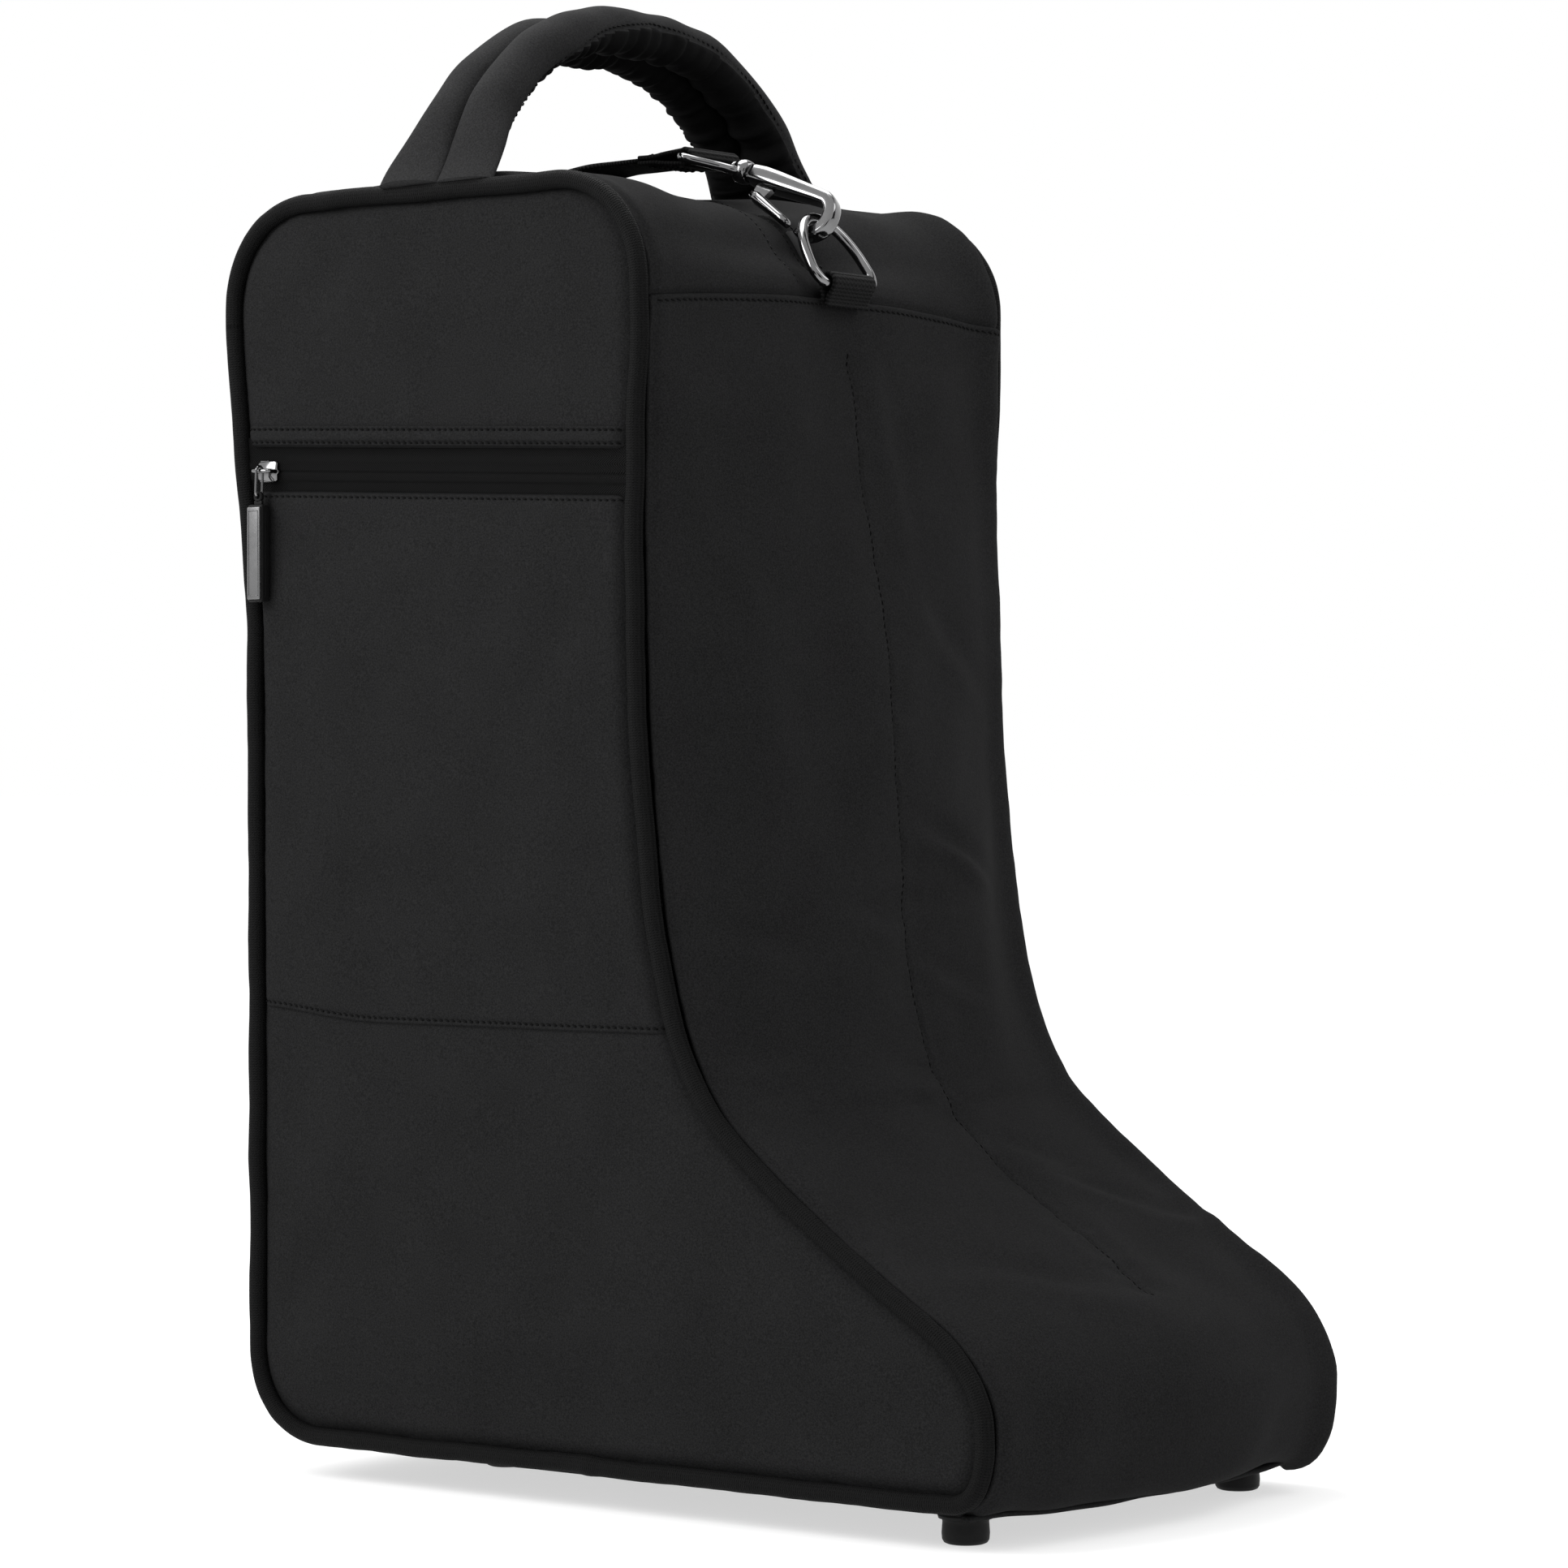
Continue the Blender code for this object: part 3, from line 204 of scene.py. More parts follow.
def outward_faces(obj):
    bm = bmesh.new()
    bm.from_mesh(obj.data)
    bmesh.ops.recalc_face_normals(bm, faces=bm.faces)
    bm.to_mesh(obj.data)
    bm.free()
    return obj


def look_outward(obj):
    """Turn a sheet's faces away from the middle of the bag."""
    middle = Vector((-0.08, 0.0, 0.25))
    mesh = obj.data
    if sum((face.center - middle).dot(face.normal) * face.area for face in mesh.polygons) < 0:
        mesh.flip_normals()


def thicken(obj, thickness, inner_mat=None):
    """Give a sheet its thickness, inwards from its outer face."""
    look_outward(obj)
    if inner_mat is not None:
        obj.data.materials.append(inner_mat)
    solid = obj.modifiers.new("thickness", "SOLIDIFY")
    solid.thickness = thickness
    solid.offset = -1.0
    solid.use_even_offset = False
    solid.material_offset = 0 if inner_mat is None else 1
    solid.material_offset_rim = 0
    return obj


def join(name, objs):
    """One mesh out of several, keeping UVs and materials."""
    bm = bmesh.new()
    mats = []
    for obj in objs:
        for mat in obj.data.materials:
            if mat not in mats:
                mats.append(mat)
        slots = [mats.index(mat) for mat in obj.data.materials]
        before = len(bm.faces)
        bm.from_mesh(obj.data)
        bm.faces.ensure_lookup_table()
        for face in bm.faces[before:]:
            face.material_index = slots[face.material_index]
        bpy.data.objects.remove(obj)
    mesh = bpy.data.meshes.new(name)
    bm.to_mesh(mesh)
    bm.free()
    for mat in mats:
        mesh.materials.append(mat)
    out = bpy.data.objects.new(name, mesh)
    bpy.context.scene.collection.objects.link(out)
    return out


def show(obj, body, slot, *nodes):
    """The piece rides on a body and hides its CAD nodes; the slot is not used."""
    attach(obj, body)
    if nodes:
        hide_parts(*nodes)
    return obj


def frames_along(path, up, closed=False):
    """Side and up vectors at each point of a path."""
    path = np.asarray(path, dtype=float)
    if closed:
        tangent = np.roll(path, -1, 0) - np.roll(path, 1, 0)
    else:
        tangent = np.gradient(path, axis=0)
    tangent /= np.linalg.norm(tangent, axis=1)[:, None]
    up = np.broadcast_to(np.asarray(up, dtype=float), path.shape)
    side = np.cross(tangent, up)
    side /= np.linalg.norm(side, axis=1)[:, None]
    return side, np.cross(side, tangent)


def lengths(path):
    return np.concatenate([[0.0], np.cumsum(np.linalg.norm(np.diff(path, axis=0), axis=1))])


def smooth_path(points, spacing, closed=False):
    """Catmull-Rom through the points, then spaced evenly."""
    points = np.asarray(points, dtype=float)
    count = len(points)
    out = []
    for i in range(count if closed else count - 1):
        if closed:
            quad = [(i - 1) % count, i, (i + 1) % count, (i + 2) % count]
        else:
            quad = [max(i - 1, 0), i, i + 1, min(i + 2, count - 1)]
        for t in np.arange(12) / 12:
            blend = (-0.5 * t + t * t - 0.5 * t ** 3, 1 - 2.5 * t * t + 1.5 * t ** 3,
                     0.5 * t + 2 * t * t - 1.5 * t ** 3, -0.5 * t * t + 0.5 * t ** 3)
            out.append(sum(points[j] * f for j, f in zip(quad, blend)))
    out.append(points[0] if closed else points[-1])
    out = np.array(out)
    s = lengths(out)
    steps = max(3, int(round(s[-1] / spacing)))
    want = np.linspace(0.0, s[-1], steps + 1)
    even = np.stack([np.interp(want, s, out[:, k]) for k in range(out.shape[1])], axis=1)
    return even[:-1] if closed else even


def tube(name, path, radius, mat, up, sides=14, closed=False, flat=1.0):
    """Round or flattened bar along a path; radius may be one number or one per point."""
    path = np.asarray(path, dtype=float)
    side, lift = frames_along(path, up, closed)
    radius = np.broadcast_to(np.asarray(radius, dtype=float), (len(path),))
    turn = 2 * pi * np.arange(sides) / sides
    ring = side[:, None] * np.cos(turn)[:, None] + lift[:, None] * (flat * np.sin(turn))[:, None]
    points = path[:, None] + ring * radius[:, None, None]
    uvs = np.stack(np.broadcast_arrays(lengths(path)[:, None], turn / (2 * pi)), axis=-1)
    return outward_faces(grid(name, points, mat, uvs, wrap_rows=closed, wrap_cols=True, ends=not closed))


def loft(name, rings, mat):
    return outward_faces(grid(name, np.array(rings), mat, wrap_cols=True, ends=True))


def squircle(count, power=2.6):
    """Unit points round a rounded rectangle."""
    turn = 2 * pi * (np.arange(count) + 0.5) / count
    a, b = np.cos(turn), np.sin(turn)
    return np.stack([np.sign(a) * np.abs(a) ** (2 / power), np.sign(b) * np.abs(b) ** (2 / power)], axis=1)


# ---- materials
class Nodes:
    """Short helper for one material's node tree."""

    def __init__(self, name, roughness, metallic=0.0):
        self.mat = bpy.data.materials.new(name)
        self.mat.use_nodes = True
        self.tree = self.mat.node_tree
        self.shader = self.tree.nodes["Principled BSDF"]
        self.shader.inputs["Roughness"].default_value = roughness
        self.shader.inputs["Metallic"].default_value = metallic

    def node(self, kind, **values):
        made = self.tree.nodes.new(kind)
        for key, value in values.items():
            if key in made.inputs:
                made.inputs[key].default_value = value
            else:
                setattr(made, key, value)
        return made

    def link(self, a, b):
        self.tree.links.new(a, b)

    def math(self, operation, a, b=None):
        made = self.node("ShaderNodeMath", operation=operation)
        for socket, value in zip(made.inputs, (a, b)):
            if isinstance(value, (int, float)):
                socket.default_value = value
            elif value is not None:
                self.link(value, socket)
        return made.outputs[0]

    def coords(self, kind="Object"):
        return self.node("ShaderNodeTexCoord").outputs[kind]

    def noise(self, vector, scale, detail=3.0, rough=0.55):
        made = self.node("ShaderNodeTexNoise", Scale=scale, Detail=detail, Roughness=rough)
        self.link(vector, made.inputs["Vector"])
        return made.outputs["Fac"]

    def colours(self, factor, stops):
        ramp = self.node("ShaderNodeValToRGB")
        while len(ramp.color_ramp.elements) < len(stops):
            ramp.color_ramp.elements.new(0.5)
        for element, (place, colour) in zip(ramp.color_ramp.elements, stops):
            element.position = place
            element.color = (*colour, 1.0)
        self.link(factor, ramp.inputs["Fac"])
        self.link(ramp.outputs["Color"], self.shader.inputs["Base Color"])

    def rough(self, factor, low, high):
        span = self.node("ShaderNodeMapRange")
        span.inputs["To Min"].default_value = low
        span.inputs["To Max"].default_value = high
        self.link(factor, span.inputs["Value"])
        self.link(span.outputs["Result"], self.shader.inputs["Roughness"])

    def bump(self, height, strength, distance, chain=None):
        made = self.node("ShaderNodeBump", Strength=strength, Distance=distance)
        self.link(height, made.inputs["Height"])
        if chain is not None:
            self.link(chain, made.inputs["Normal"])
        self.link(made.outputs["Normal"], self.shader.inputs["Normal"])
        return made.outputs["Normal"]

    def split(self, vector):
        made = self.node("ShaderNodeSeparateXYZ")
        self.link(vector, made.inputs[0])
        return made.outputs


def grey(value, tint=0.02):
    return (value, value, value * (1 + tint))


def cloth_material(name, value, roughness, sheen, grain=0.10, shine=0.12):
    """Matt brushed softshell: fine nap, faint mottling."""
    n = Nodes(name, roughness)
    n.shader.inputs["Sheen Weight"].default_value = sheen
    n.shader.inputs["Sheen Roughness"].default_value = 0.45
    n.shader.inputs["Specular IOR Level"].default_value = shine
    at = n.coords()
    mottle = n.noise(at, 26.0, 4.0)
    nap = n.noise(at, 1500.0, 2.0, 0.7)
    blend = n.math("ADD", n.math("MULTIPLY", mottle, 0.18), n.math("MULTIPLY", nap, 0.82))
    n.colours(blend, [(0.33, grey(value * (1 - grain))), (0.67, grey(value * (1 + grain)))])
    n.rough(mottle, roughness - 0.05, roughness + 0.05)
    weave = n.bump(n.noise(at, 1200.0, 3.0, 0.6), 0.30, 0.0004)
    n.bump(n.noise(at, 180.0, 3.0, 0.5), 0.10, 0.0006, weave)
    return n.mat


def ribbed_material(name, value, roughness, pitch, columns, depth=0.0004, across=1.0):
    """Ribbed binding or webbing: ribs along UV x (metres), yarn columns along UV y (0..1)."""
    n = Nodes(name, roughness)
    n.shader.inputs["Specular IOR Level"].default_value = 0.08
    uv = n.split(n.coords("UV"))
    along = n.math("SINE", n.math("MULTIPLY", uv["X"], 2 * pi / pitch))
    columns_wave = n.math("SINE", n.math("MULTIPLY", uv["Y"], 2 * pi * columns))
    weave = n.math("MULTIPLY", along, n.math("ADD", n.math("MULTIPLY", columns_wave, 0.45), across))
    fuzz = n.noise(n.coords(), 2200.0, 2.0)
    height = n.math("ADD", n.math("MULTIPLY", weave, 0.5), fuzz)
    n.colours(n.math("ADD", n.math("MULTIPLY", weave, 0.22), fuzz),
              [(0.25, grey(value * 0.40)), (0.75, grey(value * 2.0))])
    n.bump(height, 1.0, depth)
    return n.mat


def twill_material(name, value, roughness):
    """Zip tape: herringbone twill."""
    n = Nodes(name, roughness)
    n.shader.inputs["Specular IOR Level"].default_value = 0.08
    uv = n.split(n.coords("UV"))
    fold = n.math("PINGPONG", uv["Y"], 0.0028)
    slant = n.math("ADD", uv["X"], n.math("MULTIPLY", fold, 1.3))
    ribs = n.math("SINE", n.math("MULTIPLY", slant, 2 * pi / 0.00120))
    fuzz = n.noise(n.coords(), 2400.0, 2.0)
    n.colours(n.math("ADD", n.math("MULTIPLY", ribs, 0.55), fuzz),
              [(0.25, grey(value * 0.35)), (0.75, grey(value * 2.2))])
    n.bump(n.math("ADD", n.math("MULTIPLY", ribs, 0.5), fuzz), 1.0, 0.0005)
    return n.mat


def metal_material(name, value, roughness, brushed=0.0):
    n = Nodes(name, roughness, 1.0)
    at = n.coords()
    cloud = n.noise(at, 90.0, 4.0)
    n.colours(cloud, [(0.3, grey(value * 0.88, 0.01)), (0.7, grey(value * 1.06, 0.01))])
    n.rough(n.noise(at, 320.0, 4.0), roughness * 0.8, roughness * 1.3)
    n.bump(n.noise(at, 700.0 if brushed else 240.0, 2.0), 0.05 + brushed, 0.0002)
    return n.mat


def rubber_material(name, value, roughness, bump=0.15, shine=0.30):
    n = Nodes(name, roughness)
    n.shader.inputs["Specular IOR Level"].default_value = shine
    at = n.coords()
    n.colours(n.noise(at, 140.0, 4.0), [(0.3, grey(value * 0.8)), (0.7, grey(value * 1.25))])
    n.rough(n.noise(at, 420.0), roughness - 0.06, roughness + 0.10)
    n.bump(n.noise(at, 1300.0, 2.0), bump, 0.0003)
    return n.mat


SHELL = cloth_material("shell_softshell", 0.0108, 0.85, 0.0, 0.42, 0.03)
# The handle is the same softshell as the shell; its lighter colour is painted light on the handle.
HANDLE_PAINTED_LIGHT_CLOTH = cloth_material("handle_softshell_painted_light", 0.0170, 0.85, 0.0, 0.36, 0.03)
# Grip strip on the handle's inner side: a darker cloth, made darker still as painted shade where the inside
# of the handle lies in shadow.
GRIP_SHADE_CLOTH = cloth_material("grip_cloth_painted_shade", 0.0045, 0.80, 0.0, 0.12, 0.03)
LINING = cloth_material("lining_cloth", 0.030, 0.75, 0.02, 0.06)
PIPING = ribbed_material("piping_ribbed", 0.0026, 0.72, 0.0010, 16.0, 0.0004, 0.5)
WEBBING = ribbed_material("webbing_ribbed", 0.0034, 0.70, 0.0016, 11.0, 0.0005)
TAPE = twill_material("zip_tape_twill", 0.0021, 0.72)
COIL = rubber_material("coil_nylon", 0.0060, 0.42, 0.05, 0.15)
THREAD = rubber_material("sewing_thread", 0.0022, 0.60, 0.3, 0.06)
GUNMETAL = metal_material("gunmetal_polished", 0.19, 0.13)
PULL_METAL = metal_material("pull_satin", 0.16, 0.36, brushed=0.1)
RUBBER = rubber_material("pull_rubber", 0.0045, 0.55, shine=0.12)
FOOT_RUBBER = rubber_material("foot_rubber", 0.0040, 0.50, shine=0.15)
BOARD = rubber_material("base_board", 0.020, 0.70, shine=0.10)


# ---- outline of the boot
def bezier(p0, h0, h1, p1):
    t = np.linspace(0.0, 1.0, 41)[:, None]
    p0, h0, h1, p1 = (np.array(p) for p in (p0, h0, h1, p1))
    return (1 - t) ** 3 * p0 + 3 * (1 - t) ** 2 * t * h0 + 3 * (1 - t) * t * t * h1 + t ** 3 * p1


def arc(centre, radius, start, end):
    a = np.radians(np.linspace(start, end, 25))
    return np.stack([centre[0] + radius * np.cos(a), centre[1] + radius * np.sin(a)], axis=1)


def chain(*parts):
    """Join stretches that share their end points."""
    return np.concatenate([parts[0]] + [part[1:] for part in parts[1:]])


def smoothed(line, kernel):
    """Running average of a line of two columns."""
    pad = len(kernel) // 2
    columns = [np.pad(line[:, k], pad, mode="edge") for k in (0, 1)]
    return np.stack([np.convolve(column, kernel, "valid") for column in columns], axis=1)


class Path:
    """A line in the XZ plane with even spacing, its lengths and its outward normals."""

    def __init__(self, points, spacing=0.0015):
        s = lengths(points)
        want = np.linspace(0.0, s[-1], int(s[-1] / spacing) + 1)
        self.s = want
        self.p = np.stack([np.interp(want, s, points[:, k]) for k in (0, 1)], axis=1)
        step = np.gradient(self.p, axis=0)
        kernel = np.ones(5) / 5
        step = smoothed(step, kernel)
        step /= np.linalg.norm(step, axis=1)[:, None]
        self.n = np.stack([-step[:, 1], step[:, 0]], axis=1)

    def at(self, s, values=None):
        values = self.p if values is None else values
        return np.stack([np.interp(s, self.s, values[:, k]) for k in (0, 1)], axis=-1)

    def nearest(self, x=None, z=None):
        """Length at the point closest to a height or a place."""
        gap = np.zeros(len(self.p))
        if x is not None:
            gap += (self.p[:, 0] - x) ** 2
        if z is not None:
            gap += (self.p[:, 1] - z) ** 2
        return self.s[np.argmin(gap)]


rear_centre = (REAR_X + CORNER_R, TOP_Z - CORNER_R)
front_centre = (LEG_X - CORNER_R, TOP_Z - CORNER_R)
TOP_RUN = chain(np.array([(REAR_X, SEAM_Z), (REAR_X, rear_centre[1])]),
                arc(rear_centre, CORNER_R, 180, 90),
                np.array([(rear_centre[0], TOP_Z), (front_centre[0], TOP_Z)]),
                arc(front_centre, CORNER_R, 90, 0),
                np.array([(LEG_X, front_centre[1]), (LEG_X, SEAM_Z)]))
FRONT_RUN = chain(bezier((LEG_X, SEAM_Z), (0.024, 0.430), (0.0205, 0.400), (0.022, 0.350)),
                  bezier((0.022, 0.350), (0.023, 0.270), (0.030, 0.186), (0.060, 0.154)),
                  bezier((0.060, 0.154), (0.078, 0.136), (0.118, 0.108), (0.150, 0.089)),
                  bezier((0.150, 0.089), (0.172, 0.077), (0.187, 0.062), (TOE_X, 0.042)),
                  bezier((TOE_X, 0.042), (TOE_X, 0.024), (0.180, 0.0140), (0.168, 0.0132)))
heel = (HEEL_X + HEEL_R, BASE_Z + HEEL_R)
BASE_RUN = np.array([(0.168, 0.0132), (0.10, BASE_Z), (heel[0], BASE_Z)])
LOW_RUN = chain(arc(heel, HEEL_R, 270, 180), np.array([(HEEL_X, heel[1]), (HEEL_X, DOOR_LOW_Z)]))
REAR_RUN = chain(np.array([(HEEL_X, DOOR_LOW_Z), (-0.1842, 0.180), (-0.1846, 0.250), (-0.185, 0.320)]),
                 bezier((-0.185, 0.320), (-0.1855, 0.375), (-0.195, 0.420), (REAR_X, SEAM_Z)))

OVER = Path(chain(TOP_RUN, FRONT_RUN))       # over the top and down the front
LOOP = Path(chain(TOP_RUN, FRONT_RUN, BASE_RUN, LOW_RUN, REAR_RUN), 0.0020)
TOP_END = OVER.nearest(x=LEG_X, z=SEAM_Z)


def swell_over():
    """How far the top and the front stand out at mid width, for each point of OVER."""
    x, z = OVER.p[:, 0], OVER.p[:, 1]
    rise = np.clip((x - REAR_X) / (DENT_X - REAR_X), 0, 1)
    crown = 0.0040 * np.sin(pi * rise)
    down = np.degrees(np.arctan2(z - front_centre[1], x - front_centre[0]))
    dent = 0.003 - 0.0108 * ease(down / 28) + 0.0078 * ease((down - 84) / 34)
    t = np.clip((OVER.s - TOP_END) / (OVER.s[-1] - TOP_END), 0, 1)
    belly = np.where(t < 0.6, 0.003 + 0.026 * np.sin(pi * np.minimum(1.0, 1.3 * t)), 0.0)
    belly = np.where(t > 0.2, np.maximum(belly, 0.016), belly)
    on_top = OVER.s <= TOP_END
    lift = np.where(on_top, np.where(x > DENT_X, dent, crown), 0.0)[:, None] * OVER.n
    lift[:, 0] += np.where(on_top & (x < DENT_X), (REAR_LINE_TOP[0] - REAR_X) * (1 - rise) ** 8, 0.0)
    lift[:, 0] += np.where(on_top, 0.0, belly)
    kernel = np.hanning(13)
    kernel /= kernel.sum()
    return smoothed(lift, kernel)


SWELL = swell_over()


# ---- stitches
STITCH_FILL = 0.74           # the rest of a stitch's length is inside the cloth
STITCH_SLANT = 0.00050
STITCH_SHAPE = (             # place along the stitch, thickness, height
    (-0.5, 0.25, -0.7), (-0.42, 0.8, 0.1), (-0.15, 1.0, 0.75),
    (0.15, 1.0, 0.75), (0.42, 0.8, 0.1), (0.5, 0.25, -0.7),
)


def along_line(d, s, values):
    """The value a length d along a line, with one column per axis."""
    return np.array([np.interp(d, s, values[:, k]) for k in range(3)])


def stitch_row(name, path, normals):
    """Thread stitches end to end along a path that lies on the cloth."""
    path = np.asarray(path, dtype=float)
    normals = np.asarray(normals, dtype=float)
    s = lengths(path)
    count = max(1, int(s[-1] / STITCH))
    verts, faces = [], []
    turn = 2 * pi * np.arange(6) / 6
    for i in range(count):
        middle = (i + 0.5) * s[-1] / count
        rings = []
        for t, swollen, lift in STITCH_SHAPE:
            d = np.clip(middle + t * STITCH * STITCH_FILL, 0, s[-1])
            up = unit(along_line(d, s, normals))
            ahead = along_line(min(d + 0.0004, s[-1]), s, path)
            along = unit(ahead - along_line(max(d - 0.0004, 0), s, path))
            side = np.cross(along, up)
            centre = along_line(d, s, path) + up * THREAD_R * lift + side * (t * STITCH_SLANT)
            ring = np.cos(turn)[:, None] * side + np.sin(turn)[:, None] * up
            rings.append(centre + THREAD_R * swollen * ring)
        start = len(verts)
        verts.extend(np.concatenate(rings))
        faces += grid_faces(len(rings), 6, wrap_cols=True, start=start)
        faces.append(tuple(range(start, start + 6)))
        last = start + 6 * (len(rings) - 1)
        faces.append(tuple(range(last, last + 6))[::-1])
    return outward_faces(add_mesh(name, verts, faces, THREAD))


def sew(name, body, slot, rows):
    """Several stitch rows as one piece that rides on a body; rows are (path, normals)."""
    made = [stitch_row(f"{name}_{i}", path, normals) for i, (path, normals) in enumerate(rows)]
    return show(join(name, made), body, slot)


# ---- top and front of the gusset
def seam_s(y):
    """Where the front panel's folded edge crosses the top, higher at mid width."""
    return TOP_END - 0.0055 * (1 - (y / PIPING_Y) ** 2)


CENTRE_TOP = OVER.nearest(x=0.0225, z=0.448)
CENTRE_END = OVER.nearest(x=0.160, z=0.083)


def centre_line(s):
    """Y of the stitch line that fastens the divider to the front."""
    t = (s - CENTRE_TOP) / (CENTRE_END - CENTRE_TOP)
    return 0.0045 + 0.0012 * np.sin(9.0 * t) + 0.0005 * np.sin(31.0 * t)


def crease(s, y, at_s, at_y, turn, length, width, depth):
    """One soft fold: a valley with a raised lip, along a direction turned from across."""
    a = radians(turn)
    u = (y - at_y) * cos(a) + (s - at_s) * sin(a)
    v = (s - at_s) * cos(a) - (y - at_y) * sin(a)
    return depth * bell(u, length) * (bell(v - width, width) - bell(v, width))


CREASES = [                  # length down the front, across, turn, length, width, depth
    (0.205, 0.030, 14, 0.022, 0.0055, 0.0019), (0.214, 0.050, 24, 0.020, 0.0050, 0.0016),
    (0.232, 0.024, -8, 0.018, 0.0050, 0.0013), (0.236, -0.018, 8, 0.016, 0.0060, 0.0015),
    (0.262, 0.030, 20, 0.020, 0.0055, 0.0010), (0.302, -0.006, 4, 0.016, 0.0065, 0.0014),
    (0.309, 0.012, -12, 0.014, 0.0050, 0.0013), (0.345, 0.028, 28, 0.030, 0.0070, 0.0012),
    (0.372, 0.050, 35, 0.030, 0.0070, 0.0012), (0.128, 0.055, 35, 0.030, 0.0080, 0.0009),
    (0.105, -0.060, 60, 0.040, 0.0110, 0.0010), (0.160, -0.050, 72, 0.050, 0.0120, 0.0010),
    (0.245, -0.080, 12, 0.016, 0.0060, 0.0011), (0.292, -0.086, -6, 0.014, 0.0060, 0.0010),
    (0.418, -0.045, 20, 0.040, 0.0100, 0.0012), (0.060, 0.030, 80, 0.040, 0.0080, 0.0008),
    (0.395, 0.085, 10, 0.020, 0.0060, 0.0012), (0.470, 0.030, 0, 0.050, 0.0090, 0.0008),
]


def over_depth(s, y, base):
    """Small shapes of the cloth, along its normal."""
    edge = GUSSET_Y - np.abs(y)
    out = 0.0011 * (1 - np.exp(-edge / 0.005)) - 0.0016 * bell(edge, 0.0022)
    out += 0.0015 * soft_noise(base, 0.085, 3) * ease(edge / 0.02)
    out += 0.00050 * soft_noise(base, 0.034, 4) * ease(edge / 0.012)
    out += 0.00022 * line_noise(s + 0.3 * np.sign(y), 0.019, 5) * np.exp(-edge / 0.009)
    down = s - TOP_END
    stuffed = ease((base[..., 0] + 0.030) / 0.040)           # full at the far seam
    out += 0.0044 * bell(y - 0.1015, 0.0085) * stuffed
    for at_s, at_y, turn, length, width, depth in CREASES:
        out += 1.5 * crease(down, y, at_s, at_y, turn, length, width, depth)
    gap = y - centre_line(s)
    live = ease((s - CENTRE_TOP) / 0.006) * ease((CENTRE_END - s) / 0.006)
    pucker = 1.0 + 0.5 * line_noise(s, 0.011, 6)
    out -= live * (0.0009 * bell(gap, 0.0011) * pucker + 0.0012 * bell(gap, 0.009))
    out += live * 0.0006 * line_noise(s, 0.016, 7) * bell(np.abs(gap) - 0.006, 0.006)
    return out


def far_lift(x):
    """The strap and the handle pull the top's far edge up."""
    return 0.0060 * bell(x + 0.080, 0.042)


def over_surface(s, y, lift=0.0):
    """Points and normals of the cloth over the top and down the front."""
    s, y = np.broadcast_arrays(s, y)
    p = OVER.at(s)
    n = OVER.at(s, OVER.n)
    out = OVER.at(s, SWELL)
    bulge = 1 - (y / PIPING_Y) ** 2
    base = xyz(p[..., 0] + out[..., 0] * bulge, y, p[..., 1] + out[..., 1] * bulge)
    far_pull = far_lift(p[..., 0]) * ease((y - 0.030) / 0.070) * (s < TOP_END)
    near_pull = 0.0020 * bell(p[..., 0] + 0.082, 0.030) * ease((-y - 0.070) / 0.030) * (s < TOP_END)
    normal = xyz(n[..., 0], 0.0, n[..., 1])
    depth = over_depth(s, y, base) + lift
    base = base + normal * depth[..., None]
    base[..., 2] += far_pull + near_pull
    return base, normal


def across_gusset(count):
    """Y values from side to side, closer together near the edges."""
    t = np.linspace(-1, 1, count)
    return (GUSSET_Y + 0.0012) * (0.86 * t + 0.14 * np.sin(t * pi / 2))


def fine_steps(start, end, coarse, fine, *places):
    """Steps that are finer near the given places."""
    steps = [start]
    while steps[-1] < end:
        gap = min((abs(steps[-1] - place) for place in places), default=1.0)
        steps.append(steps[-1] + mix(fine, coarse, float(ease((gap - 0.004) / 0.014))))
    steps[-1] = end
    return np.array(steps)


def with_uv(points):
    """UVs in metres: rows then columns."""
    rows, cols = points.shape[:2]
    u, v = lengths(points[:, cols // 2])[:, None], lengths(points[rows // 2])
    return np.stack(np.broadcast_arrays(u, v), axis=-1)


EDGE_BEHIND = 0.0045         # the top panel runs on under the front panel's fold
FRONT_FOLD = 0.0012          # how far the folded edge stands out
TOP_ROWS = (-0.024, -0.006, 0.006)           # Y of the rows sewn along the top


def make_top():
    y = across_gusset(150)
    near_seam = np.linspace(-0.0110, 0.0, 14) + TOP_END
    s = np.concatenate([fine_steps(0.0006, TOP_END - 0.012, 0.0026, 0.0009), near_seam])[:, None]
    s_all = s + (seam_s(y) - TOP_END + EDGE_BEHIND) * ease((s - TOP_END + 0.012) / 0.012)
    under = -0.0011 * ease((s_all - seam_s(y) + 0.0035) / 0.0035)
    for row_y in TOP_ROWS:
        under = under - 0.00045 * bell(y - row_y, 0.0010) * ease((0.28 - s_all) / 0.02)
    points = over_surface(s_all, y, under)[0]
    top = thicken(grid("top_panel", points, SHELL, with_uv(points)), FABRIC_T, LINING)
    show(top, "bag", "shell_fabric", "top_gusset", "top_reinforcement")
    rows = []
    for row_y in TOP_ROWS:
        line_s = np.arange(0.050, float(seam_s(row_y)) - 0.004, 0.002)
        rows.append(over_surface(line_s, row_y, -0.00040))
    sew("top_stitches", "bag", "webbing", rows)


